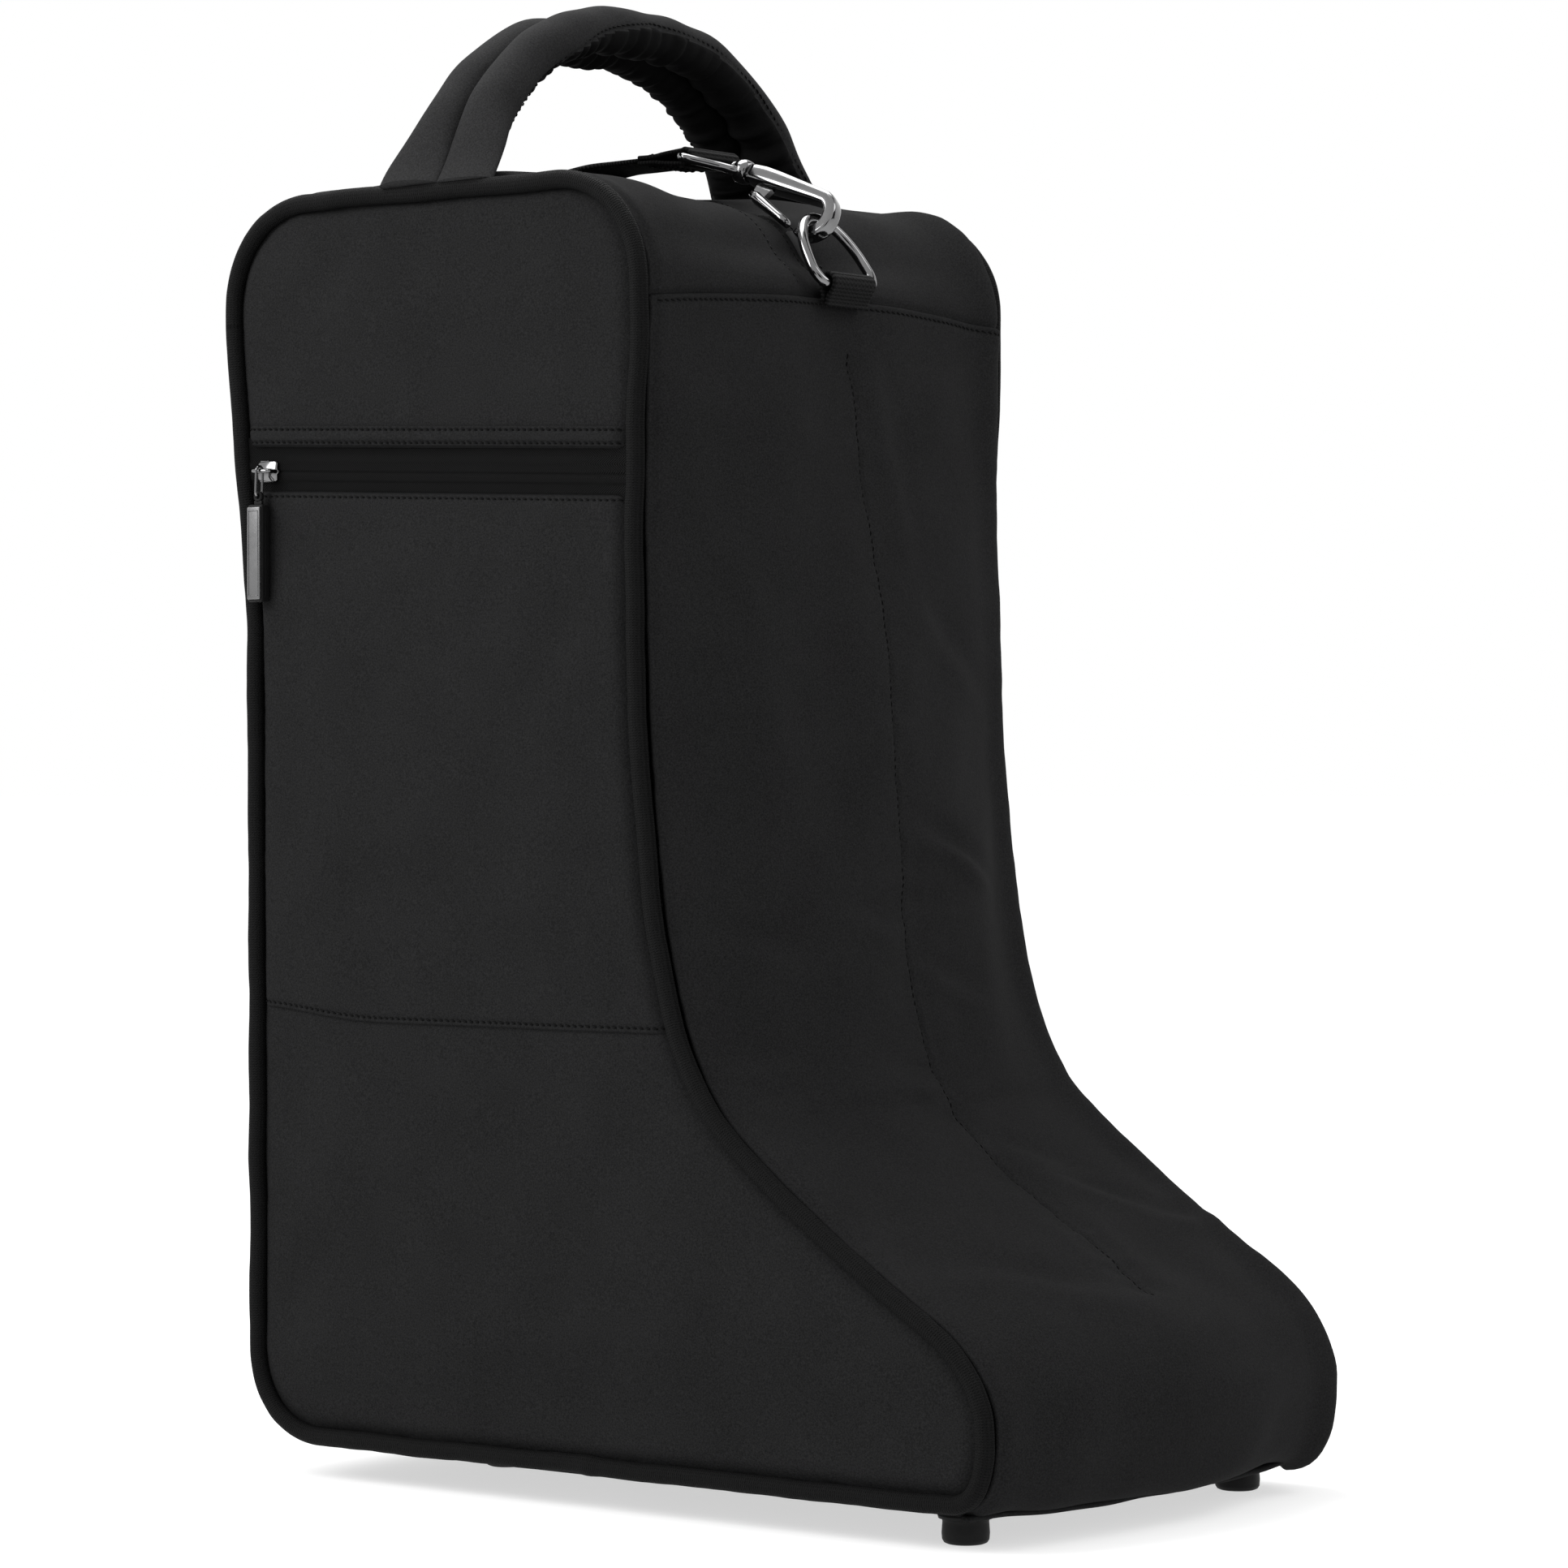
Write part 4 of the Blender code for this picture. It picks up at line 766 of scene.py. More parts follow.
def make_front():
    y = across_gusset(190)
    below = fine_steps(0.0145, OVER.s[-1] - TOP_END, 0.0028, 0.0012)
    down = np.concatenate([np.linspace(0, 0.012, 16), below])[:, None]
    s_all = down + TOP_END + (seam_s(y) - TOP_END) * ease(1 - down / 0.05)
    from_edge = s_all - seam_s(y)
    lift = FRONT_FOLD * ease(1 - from_edge / 0.016) - 0.0016 * bell(from_edge, 0.0006)
    lift = lift - 0.00065 * bell(from_edge - 0.0026, 0.0009)
    points = over_surface(s_all, y, lift)[0]
    front = thicken(grid("front_panel", points, SHELL, with_uv(points)), FABRIC_T * 0.9, LINING)
    show(front, "bag", "shell_fabric", "front_gusset")
    line_y = np.linspace(-GUSSET_Y + 0.001, GUSSET_Y - 0.001, 220)
    seam = over_surface(seam_s(line_y) + 0.0026, line_y, FRONT_FOLD * 0.93 - 0.00045)
    line_s = np.arange(CENTRE_TOP, CENTRE_END, 0.002)
    centre = over_surface(line_s, centre_line(line_s), -0.00005)
    sew("front_stitches", "bag", "shell_fabric", [seam, centre])


# ---- side panels
EDGE_IN = 2 * PIPING_R - 0.0022              # the panels reach this far in under the piping


def inset(amount):
    return LOOP.p - LOOP.n * amount


class Side:
    """The side's outline, for how far in a point lies and where a height meets the edges."""

    def __init__(self):
        self.line = inset(EDGE_IN)
        self.low, self.high = self.line[:, 1].min(), self.line[:, 1].max()

    def ends(self, z):
        """First and last X of the outline at each height."""
        line = np.vstack([self.line, self.line[:1]])
        a, b = line[:-1], line[1:]
        left, right = [], []
        for height in np.atleast_1d(z):
            cross = (a[:, 1] - height) * (b[:, 1] - height) <= 0
            span = b[cross, 1] - a[cross, 1]
            t = np.where(np.abs(span) > 1e-9, (height - a[cross, 1]) / np.where(span == 0, 1, span), 0.5)
            x = a[cross, 0] + (b[cross, 0] - a[cross, 0]) * t
            left.append(x.min())
            right.append(x.max())
        return np.array(left), np.array(right)

    def depth(self, x, z):
        """Distance of points from the outline."""
        shape = np.shape(x)
        points = np.stack([np.ravel(x), np.ravel(z)], axis=1)
        out = np.empty(len(points))
        for i in range(0, len(points), 4000):
            part = points[i:i + 4000]
            gap = part[:, None, :] - self.line[None, :, :]
            out[i:i + 4000] = np.sqrt((gap ** 2).sum(-1)).min(1)
        return out.reshape(shape)


SIDE = Side()


def zip_z(x):
    return ZIP_Z + ZIP_SLOPE * (x - ZIP_MID_X)


def lower_seam(x):
    """The pocket's lower seam dips a little towards the toe."""
    return LOWER_SEAM_Z + 0.0048 * ease((-0.110 - x) / 0.07)


PANEL_FOLDS = [              # X, Z, turn, length, width, depth of soft folds on the pocket side
    (-0.168, 0.335, 35, 0.030, 0.0090, 0.0010), (-0.160, 0.300, -30, 0.035, 0.0110, 0.0009),
    (-0.100, 0.350, 20, 0.050, 0.0120, 0.0007), (-0.060, 0.290, -25, 0.055, 0.0160, 0.0008),
    (-0.020, 0.330, 60, 0.040, 0.0120, 0.0008), (-0.120, 0.235, 15, 0.050, 0.0140, 0.0007),
    (-0.040, 0.215, -15, 0.045, 0.0130, 0.0007), (-0.150, 0.470, 30, 0.030, 0.0100, 0.0006),
    (-0.040, 0.450, -20, 0.050, 0.0140, 0.0007), (-0.100, 0.110, 25, 0.060, 0.0170, 0.0009),
    (0.010, 0.130, -40, 0.045, 0.0120, 0.0009), (0.070, 0.070, -30, 0.050, 0.0120, 0.0009),
    (-0.165, 0.060, 60, 0.035, 0.0100, 0.0009), (-0.020, 0.050, 8, 0.060, 0.0130, 0.0007),
]


LAYER_INNER = 0.1116         # Y of the cloth at the outline, under the piping
LAYER_PANEL = 0.1149
LAYER_POCKET = 0.1163
LAYER_STRIP = 0.1166
STRAP_LIES_X = -0.134        # the strap presses the far side flat


def side_out(x, z, layer, sign=-1):
    """Outward distance of a side panel from the bag's middle plane."""
    d = SIDE.depth(x, z)
    seed = 11 if sign < 0 else 31
    base = xyz(x, 0.1 * seed, z)
    puff = 0.0028 * ease(d / 0.055) + 0.0011 * soft_noise(base, 0.130, seed) * ease(d / 0.03)
    puff += 0.00035 * soft_noise(base, 0.034, seed + 1) * ease(d / 0.02)
    for at_x, at_z, turn, length, width, depth in PANEL_FOLDS:
        puff += crease(z, x, at_z, at_x, turn, length, width, depth) * ease(d / 0.010)
    puff += 0.00022 * line_noise(x * 1.3 + z, 0.022, seed + 2) * np.exp(-d / 0.008)
    if sign < 0:
        puff *= 1 - 0.92 * bell(z - zip_z(x), 0.038)
    else:
        puff *= 1 - 0.88 * bell(x - STRAP_LIES_X, 0.048)
    return LAYER_INNER + (layer - LAYER_INNER) * (1 - np.exp(-(d / 0.0042) ** 2)) + puff


def side_grid(z_low, z_high, rows, cols=110):
    """X and Z of a panel between two edge lines given as functions of X."""
    t = rows[:, None]
    u = np.linspace(0, 1, cols)
    u = (0.8 * u + 0.2 * (0.5 - 0.5 * np.cos(pi * u)))[None, :]
    x = np.zeros((len(rows), cols)) - 0.08
    for step in range(4):
        z = np.clip(mix(z_low(x), z_high(x), t), SIDE.low + 1e-5, SIDE.high - 1e-5)
        if step:
            left, right = SIDE.ends(z[:, 0])[0], SIDE.ends(z[:, -1])[1]
        else:
            left, right = SIDE.ends(z.mean(1))
        x = left[:, None] + (right - left)[:, None] * u
    return x, z


def edge_rows(length, fine_low, fine_high, coarse=0.0030):
    """Row positions 0..1, finer at an edge that has a fold or follows a corner."""
    steps = [0.0]
    while steps[-1] < length:
        gap_low = steps[-1] if fine_low else 1.0
        gap_high = length - steps[-1] if fine_high else 1.0
        near = min(gap_low / fine_low if fine_low else 1.0, gap_high / fine_high if fine_high else 1.0)
        steps.append(steps[-1] + mix(0.0005, coarse, float(ease(near))))
    rows = np.array(steps)
    return rows / rows[-1]


def fold_depth(x, z, edge, stitch, way):
    """A folded edge that turns in at the line edge, and a groove under its stitches."""
    gap = (z - edge(x)) * way
    return -0.0026 * bell(gap, 0.00075) - 0.00065 * bell(gap - stitch, 0.0009)


def side_piece(name, sign, z_low, z_high, rows, layer, folds=(), cols=110):
    """A panel of the side: sign -1 is the pocket side. Folds are (edge, stitch, way)."""
    x, z = side_grid(z_low, z_high, rows, cols)
    out = side_out(x, z, layer, sign)
    for edge, stitch, way in folds:
        out = out + fold_depth(x, z, edge, stitch, way)
    uvs = np.stack([x, z], axis=-1)
    if sign > 0:
        z = z + far_lift(x) * ease((z - SEAM_Z) / 0.040)
    points = xyz(x, sign * out, z)
    if sign > 0:
        points, uvs = points[:, ::-1], uvs[:, ::-1]
    return grid(name, points, SHELL, uvs)


def side_line(x, z, sign, layer):
    """Points on a side panel with their outward normals, for a stitch row."""
    points = xyz(x, sign * side_out(x, z, layer), z)
    normals = np.zeros_like(points)
    normals[:, 1] = sign
    return points, normals


def strip_low(x):
    return zip_z(x) + ZIP_ABOVE


def strip_high(x):
    return strip_low(x) + STRIP_H


def pocket_top(x):
    return zip_z(x) - ZIP_BELOW


def side_top(x):
    return np.full_like(x, SIDE.high)


def side_bottom(x):
    return np.full_like(x, SIDE.low)


FOLD_STITCH = 0.0020         # from a folded edge to its stitches
POCKET_STITCH = 0.0027


def make_near_side():
    upper = side_piece("near_upper_cloth", -1, lambda x: strip_high(x) - 0.003, side_top,
                       edge_rows(0.10, 0, 0.03), LAYER_PANEL)
    show(thicken(upper, FABRIC_T, LINING), "bag", "shell_fabric", "near_upper_panel")

    strip = side_piece("welt_strip_cloth", -1, strip_low, strip_high, np.linspace(0, 1, 30), LAYER_STRIP,
                       [(strip_low, FOLD_STITCH, 1), (strip_high, FOLD_STITCH, -1)], cols=150)
    show(thicken(strip, FABRIC_T * 0.6), "bag", "shell_fabric", "pocket_welt_strip")

    pocket = side_piece("pocket_cloth", -1, lower_seam, pocket_top, edge_rows(0.21, 0.010, 0.010),
                        LAYER_POCKET, [(pocket_top, FOLD_STITCH, -1), (lower_seam, POCKET_STITCH, 1)],
                        cols=130)
    show(thicken(pocket, FABRIC_T * 0.6, LINING), "bag", "shell_fabric", "pocket_front")

    lower = side_piece("near_lower_cloth", -1, side_bottom, lambda x: lower_seam(x) + 0.004,
                       edge_rows(0.17, 0.05, 0), LAYER_PANEL, cols=150)
    show(thicken(lower, FABRIC_T, LINING), "bag", "shell_fabric", "near_lower_panel")

    rows = []
    for edge, offset, layer in ((strip_low, FOLD_STITCH, LAYER_STRIP),
                                (strip_high, -FOLD_STITCH, LAYER_STRIP),
                                (pocket_top, -FOLD_STITCH, LAYER_POCKET),
                                (lower_seam, POCKET_STITCH, LAYER_POCKET)):
        first, last = SIDE.ends(float(edge(np.array(-0.08))))
        x = np.arange(first[0] + 0.003, last[0] - 0.003, 0.0015)
        rows.append(side_line(x, edge(x) + offset, -1, layer - 0.0004))
    sew("near_stitches", "bag", "shell_fabric", rows)


def make_far_side():
    panel = side_piece("far_side_cloth", 1, side_bottom, side_top, edge_rows(0.49, 0.05, 0.03, 0.0036),
                       LAYER_PANEL, cols=130)
    show(thicken(panel, FABRIC_T, LINING), "bag", "shell_fabric", "far_side_panel")


# ---- pocket zip
def tape_ridge(gap, rise=0.00050, dip=0.0006):
    """The tape stands out over the coil and dips where the two halves meet."""
    return rise * ease((0.0042 - gap) / 0.0012) - dip * bell(gap, 0.0005)


def make_pocket_zip():
    y_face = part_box("pocket_zip_tape_upper")[0][1]
    for name, low, high in (("upper", -0.0001, 0.0135), ("lower", -0.0115, 0.0001)):
        x, z = side_grid(lambda x, low=low: zip_z(x) + low, lambda x, high=high: zip_z(x) + high,
                         np.linspace(0, 1, 44), 160)
        out = tape_ridge(np.abs(z - zip_z(x)), 0.00055) + 0.0003 * line_noise(x, 0.05, 21)
        uvs = np.stack([x, z - zip_z(x) + 0.0044], axis=-1)
        tape = thicken(grid(f"pocket_tape_{name}", xyz(x, y_face - out, z), TAPE, uvs), 0.0008)
        show(tape, "bag", "zip_tape", f"pocket_zip_tape_{name}")


# ---- piping
BINDING_FULL = 0.88          # the binding is drawn in a little from the CAD's round cord


def make_piping(side, sign):
    """Ribbed binding round a cord, sewn all the way round the side."""
    line = inset(PIPING_R)
    s = LOOP.s
    wave = 0.00030 * line_noise(s, 0.090, 41 + sign) + 0.00007 * line_noise(s, 0.024, 43 + sign)
    fade = ease(s / 0.05) * ease((s[-1] - s) / 0.05)
    line = line + LOOP.n * (wave * fade)[:, None]
    y = sign * (PIPING_Y + 0.0003 * line_noise(s, 0.05, 45 + sign) * fade)
    path = xyz(line[:, 0], y, line[:, 1])[:-1]
    if sign > 0:
        path[:, 2] += far_lift(path[:, 0]) * ease((path[:, 2] - SEAM_Z) / 0.040)
    radius = np.full(len(path), PIPING_R * BINDING_FULL) + 0.00004 * line_noise(s[:-1], 0.015, 47)
    overlap = np.argmin((path[:, 0] + 0.005) ** 2 + (path[:, 2] - BASE_Z) ** 2)
    radius += 0.0005 * ease(1 - np.abs(s[:-1] - s[overlap]) / 0.008)
    piping = tube(f"{side}_piping_cord", path, radius, PIPING, (0, 1, 0), sides=22, closed=True)
    show(piping, "bag", "piping_weave", f"{side}_piping")


# ---- rear: lower panel, doors, main zip
LOW = Path(LOW_RUN, 0.001)
REAR = Path(REAR_RUN, 0.001)


def rear_line_x(z):
    t = (z - REAR_LINE_LOW[1]) / (REAR_LINE_TOP[1] - REAR_LINE_LOW[1])
    return mix(REAR_LINE_LOW[0], REAR_LINE_TOP[0], t)


def rear_points(path, s, y, swell_x, seed, edge_y=None, lift=0.0):
    """Points and normals of the cloth at the rear; edge_y is a folded edge beside the zip."""
    p = path.at(s)
    n = path.at(s, path.n)
    bulge = 1 - (y / PIPING_Y) ** 2
    base = xyz(p[..., 0] + swell_x * bulge, y, p[..., 1])
    edge = GUSSET_Y - np.abs(y)
    out = 0.0008 * (1 - np.exp(-edge / 0.005)) - 0.0015 * bell(edge, 0.0022)
    out += 0.0007 * soft_noise(base, 0.080, seed) * ease(edge / 0.02)
    out += 0.0003 * soft_noise(base, 0.025, seed + 1)
    if edge_y is not None:
        gap = np.abs(y) - edge_y
        out += -0.0022 * bell(gap, 0.0007) - 0.0005 * bell(gap - 0.0030, 0.0008)
    normal = xyz(n[..., 0], 0.0, n[..., 1])
    return base + normal * (out + lift)[..., None], normal


def make_lower_rear():
    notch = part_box("main_slider")
    s = fine_steps(0.001, LOW.s[-1] - 0.0006, 0.0024, 0.0008, LOW.s[-1] - 0.003)
    y = across_gusset(121)
    swell = (REAR_LINE_LOW[0] - HEEL_X) * (s / LOW.s[-1])
    edge = -0.0018 * bell(s - s[-1], 0.0008) - 0.0005 * bell(s[-1] - s - 0.003, 0.0008)
    grid_s, grid_y = np.meshgrid(s, y, indexing="ij")
    points = rear_points(LOW, grid_s, grid_y, swell[:, None], 51, lift=edge[:, None])[0]
    panel = grid("rear_lower_cloth", points, SHELL, with_uv(points))
    bm = bmesh.new()
    bm.from_mesh(panel.data)
    half = notch[1][1] + 0.0012
    low_z = notch[0][2] - 0.006
    middles = [(face, face.calc_center_median()) for face in bm.faces]
    gone = [face for face, middle in middles if abs(middle.y) < half and middle.z > low_z]
    bmesh.ops.delete(bm, geom=gone, context="FACES")
    bm.to_mesh(panel.data)
    bm.free()
    show(thicken(panel, FABRIC_T, LINING), "bag", "shell_fabric", "rear_lower_panel")
    line_y = np.linspace(-GUSSET_Y + 0.002, GUSSET_Y - 0.002, 140)
    rows = [rear_points(LOW, np.full_like(part, s[-1] - 0.003), part, swell[-1], 51, lift=-0.0004)
            for part in (line_y[line_y < -0.008], line_y[line_y > 0.008])]
    sew("rear_stitches", "bag", "shell_fabric", rows)


def rear_swell(s):
    """How far the straight rear line stands out from the outline."""
    p = REAR.at(s)
    return rear_line_x(p[..., 1]) - p[..., 0]


def main_tape(name, sign, z, across, face_in, body, *nodes, dip=0.0006):
    """Half of the main zip's tape; face_in is how far it lies inside the rear line."""
    grid_z, grid_y = np.meshgrid(z, sign * across, indexing="ij")
    gap = np.abs(grid_y)
    points = xyz(rear_line_x(grid_z) + face_in - tape_ridge(gap, dip=dip), grid_y, grid_z)
    uvs = np.stack([grid_z, gap + 0.0002], axis=-1)
    if sign < 0:
        points, uvs = points[:, ::-1], uvs[:, ::-1]
    show(thicken(grid(name, points, TAPE, uvs), 0.0008), body, "zip_tape", *nodes)


def make_door(side, sign):
    """Half of the rear opening: cloth to the folded edge beside the zip tape."""
    body = f"{side}_door"
    s = fine_steps(0.0008, REAR.s[-1] - 0.0006, 0.0030, 0.0010, 0.003, REAR.s[-1] - 0.003)
    y = sign * np.concatenate([np.linspace(DOOR_EDGE_Y, DOOR_EDGE_Y + 0.006, 14),
                               np.linspace(DOOR_EDGE_Y + 0.0085, GUSSET_Y - 0.0008, 34)])
    grid_s, grid_y = np.meshgrid(s, y, indexing="ij")
    ends = -0.0016 * (bell(grid_s - s[0], 0.0008) + bell(grid_s - s[-1], 0.0008))
    points = rear_points(REAR, grid_s, grid_y, rear_swell(grid_s), 55 + sign, DOOR_EDGE_Y, ends)[0]
    if sign < 0:
        points = points[:, ::-1]
    cloth = thicken(grid(f"{side}_door_cloth", points, SHELL, with_uv(points)), FABRIC_T, LINING)
    show(cloth, body, "shell_fabric", f"{side}_rear_door")

    line_s = np.arange(s[0] + 0.002, s[-1] - 0.002, 0.002)
    line_y = np.full_like(line_s, sign * (DOOR_EDGE_Y + 0.0030))
    row = rear_points(REAR, line_s, line_y, rear_swell(line_s), 55 + sign, DOOR_EDGE_Y, -0.0001)
    sew(f"{side}_door_stitches", body, "shell_fabric", [row])

    low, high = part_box(f"{side}_main_tape")
    across = np.concatenate([np.linspace(0.0004, 0.0050, 12), np.linspace(0.0060, 0.0160, 12)])
    main_tape(f"{side}_tape_cloth", sign, np.linspace(low[2], high[2], 150), across,
              low[0] - rear_line_x(high[2]), body, f"{side}_main_tape")


ZIP_END_IN = 0.0070          # behind the coils and the slider
ZIP_END_Z = 0.4320


def make_zip_end():
    """Head of the main zip, sewn to the top: it still holds the slider when the halves are open."""
    z = np.linspace(ZIP_END_Z, SEAM_Z - 0.0004, 24)
    across = np.linspace(0.0, 0.0145, 24)
    for side, sign in (("near", -1), ("far", 1)):
        main_tape(f"{side}_zip_end_cloth", sign, z, across, ZIP_END_IN, "bag", dip=0.0004)


# ---- base and feet
def toe_bow(y, short=0.0):
    """X of the base's toe end, bowed across the bag."""
    return 0.168 + 0.016 * (1 - (y / PIPING_Y) ** 2) - short


def make_base():
    x_t = np.linspace(0, 1, 90)[:, None]
    y = across_gusset(80)
    base = xyz(mix(heel[0] + 0.0006, toe_bow(y, 0.0010), x_t), y, BASE_Z)
    edge = GUSSET_Y - np.abs(base[..., 1])
    base[..., 2] += 0.0006 * soft_noise(base, 0.09, 61) * ease(edge / 0.02) * ease((1 - x_t) / 0.05)
    base[..., 2] = np.maximum(base[..., 2], BASE_Z - 0.0004)
    panel = grid("base_cloth", base, SHELL, with_uv(base))
    show(thicken(panel, FABRIC_T, LINING), "bag", "shell_fabric", "base_panel")

    y = np.linspace(-GUSSET_Y - 0.001, GUSSET_Y + 0.0025, 90)
    wave = 0.0005 * line_noise(y, 0.035, 63)
    path = xyz(toe_bow(y) + 0.0012, y, BASE_Z - 0.0010 + wave)
    path[-6:, 2] -= np.linspace(0, 0.0015, 6)
    lip = tube("base_binding", path, 0.0021, SHELL, (0, 0, 1), sides=12, flat=0.62)
    show(lip, "bag", "shell_fabric")


def turned(name, x, y, profile, mat):
    """A turned solid from (radius, height) pairs."""
    profile = smooth_profile(profile)
    a = 2 * pi * np.arange(48) / 48
    return loft(name, [xyz(x + r * np.cos(a), y + r * np.sin(a), z) for r, z in profile], mat)


def smooth_profile(profile):
    """Five steps between each pair of points."""
    out = []
    for a, b in zip(profile, profile[1:]):
        for k in range(5):
            out.append((mix(a[0], b[0], k / 5), mix(a[1], b[1], k / 5)))
    out.append(profile[-1])
    return out


def make_feet():
    for name in ("front_near_foot", "front_far_foot", "rear_near_foot", "rear_far_foot"):
        low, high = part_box(name)
        x, y = (low[0] + high[0]) / 2, (low[1] + high[1]) / 2
        r = (high[0] - low[0]) / 2
        top = high[2] + 0.0004
        bead = r + 0.0011
        profile = [(0.0030, 0.0014), (0.0034, 0.0002), (0.0046, 0.0), (r - 0.0022, 0.0), (r - 0.0010, 0.0005),
                   (r - 0.0003, 0.0016), (r - 0.0001, 0.0040), (r - 0.0004, 0.0082), (r - 0.0002, 0.0090),
                   (bead, 0.0094), (bead + 0.0003, 0.0104), (bead, 0.0112), (r - 0.0006, top)]
        foot = turned(f"{name}_rubber", x, y, profile, FOOT_RUBBER)
        show(foot, "bag", "foot_rubber", name)


# ---- carrying handle
HANDLE_JOINT = JOINTS["handle_tilt"]
HANDLE_AT = np.array(HANDLE_JOINT["pos_m"])
HANDLE_WAY = np.array(HANDLE_JOINT["axis"])
HANDLE_SIDE = np.cross(HANDLE_WAY, (0, 0, 1))
HANDLE_RISE = 0.0702
HANDLE_REACH = PIPING_Y + 0.0020


GRIP_ROUND = 178.0           # degrees from the seam round to the strip's other edge
GATHER = 0.0080              # length of one gather


def grip_seam(y, side):
    """Degrees above level of the gathered grip strip's seam; it winds along the front roll."""
    if side < 0:
        return np.full_like(y, -35.0)
    places = (-0.110, -0.062, -0.035, 0.0, 0.050, 0.110)
    return np.interp(y, places, (-55.0, -48.0, -12.0, 16.0, 0.0, -14.0))


def handle_line(side):
    """The roll's path from foot to foot, its up vectors, and how full it is at each point."""
    t = np.linspace(-1, 1, 420)
    y = HANDLE_REACH * t * (1.5 - 0.5 * t * t)
    rise = HANDLE_RISE if side > 0 else HANDLE_RISE - 0.0028
    z = TOP_Z - 0.0015 + rise * (1 - (np.abs(y) / HANDLE_REACH) ** 2.75)
    path = xyz(HANDLE_AT[0] + HANDLE_WAY[0] * y, y, z)
    step = np.gradient(path, axis=0)
    step /= np.linalg.norm(step, axis=1)[:, None]
    up = np.cross(HANDLE_SIDE[None, :], step)
    up *= np.sign(up[len(up) // 2, 2])
    return path, up, ease((z - TOP_Z - 0.002) / 0.030)


def handle_roll(name, side, *nodes):
    """A stuffed channel, gathered along its inner edge."""
    path, up, full = handle_line(side)
    y = path[:, 1]
    s = lengths(path)
    half_w = mix(0.0142, 0.0102, full) + 0.0012 * ease(y / 0.08) * full
    half_w += 0.0003 * line_noise(s, 0.05, 71 + side)
    half_t = mix(0.0030, 0.0095, full) + 0.0003 * line_noise(s, 0.04, 73 + side)
    turn = 2 * pi * np.arange(56) / 56
    ring = xyz(np.cos(turn), np.sin(turn), 0.0)
    seam = grip_seam(y, side)
    below = np.degrees(turn)[None, :] if side > 0 else (180.0 - np.degrees(turn))[None, :]
    below = (seam[:, None] - below) % 360.0          # degrees past the seam, round under the grip
    grip_end = GRIP_ROUND + seam[:, None]
    inner = ease(below / 14) * ease((grip_end - below) / 30)
    fold = np.abs(np.sin(pi * (s / GATHER + 0.35 * line_noise(s, 0.03, 75 + side))))[:, None]
    gather = 0.0013 * (fold - 0.55) * inner * (0.30 + 0.70 * bell(below - 25, 45))
    wrinkle = 0.0007 * line_noise(s, 0.0105, 77 + side)[:, None] * inner
    groove = -0.0008 * bell(below, 5) - 0.0008 * bell(below - 360, 5)
    puff = (gather + wrinkle) * (0.15 + 0.85 * full)[:, None] + groove
    puff += 0.00045 * soft_noise(path[:, None] + 0.01 * ring, 0.035, 79 + side)
    r_side = (half_w[:, None] + puff) * ring[:, 0]
    r_up = (half_t[:, None] + puff) * ring[:, 1]
    centre = path + HANDLE_SIDE * (side * (half_w - 0.0003))[:, None]
    points = centre[:, None] + HANDLE_SIDE * r_side[..., None] + up[:, None] * r_up[..., None]
    # the handle's cloth carries painted light, the grip strip a darker cloth with painted shade
    roll = outward_faces(grid(name, points, [HANDLE_PAINTED_LIGHT_CLOTH, GRIP_SHADE_CLOTH], wrap_cols=True, ends=True))
    # faces of the grip strip, which take the dark grip cloth with its painted shade
    on_grip_shade = ((below > 2) & (below < grip_end)).ravel()
    for face in roll.data.polygons:
        if len(face.vertices) == 4 and on_grip_shade[list(face.vertices)].all():
            face.material_index = 1
    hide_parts(*nodes)

    angle = np.radians(seam + 7.0)
    across = (side * np.cos(angle))[:, None] * HANDLE_SIDE
    rise = np.sin(angle)[:, None] * up
    line = centre + across * (half_w - 0.0002)[:, None] + rise * (half_t - 0.0002)[:, None]
    keep = slice(14, -14)
    thread = stitch_row(name + "_thread", line[keep], (across + rise)[keep])
    for piece in (roll, thread):
        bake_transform(piece)


# ---- webbing, rings and hooks
def band(name, path, across, width, thick):
    """Flat webbing with rounded edges along a path; across is its width direction."""
    path = np.asarray(path, dtype=float)
    across = np.broadcast_to(np.asarray(across, dtype=float), path.shape)
    tangent = np.gradient(path, axis=0)
    tangent /= np.linalg.norm(tangent, axis=1)[:, None]
    across = across - tangent * (across * tangent).sum(1)[:, None]
    across /= np.linalg.norm(across, axis=1)[:, None]
    face = np.cross(tangent, across)
    half, r = width / 2, thick / 2
    flat = np.linspace(-half + r, half - r, 15)
    edge = np.array([half - 0.3 * r, half, half - 0.3 * r])
    a = np.concatenate([flat, edge, -flat, -edge])
    b = np.concatenate([np.full(15, r), [0.7 * r, 0, -0.7 * r], np.full(15, -r), [-0.7 * r, 0, 0.7 * r]])
    points = path[:, None] + across[:, None] * a[:, None] + face[:, None] * b[:, None]
    uvs = np.stack(np.broadcast_arrays(lengths(path)[:, None], a / width + 0.5), axis=-1)
    return outward_faces(grid(name, points, WEBBING, uvs, wrap_cols=True, ends=True))


class Local:
    """A frame with axes u, v and w = u x v, in metres."""

    def __init__(self, origin, u, v):
        self.o = np.asarray(origin, dtype=float)
        self.u = unit(u)
        self.w = unit(np.cross(self.u, v))
        self.v = np.cross(self.w, self.u)

    def at(self, points):
        points = np.atleast_2d(np.asarray(points, dtype=float))
        return self.o + points[:, :1] * self.u + points[:, 1:2] * self.v + points[:, 2:3] * self.w


RING_HALF = 0.0180
RING_DEPTH = 0.0316
RING_R = 0.0021
HOOK_BOWL_U = 0.0640
BOWL_DROP = 0.0095
BOWL_R = 0.0078
GATE_PIN = (0.0335, -0.0092)
FOLD_L = 0.0240


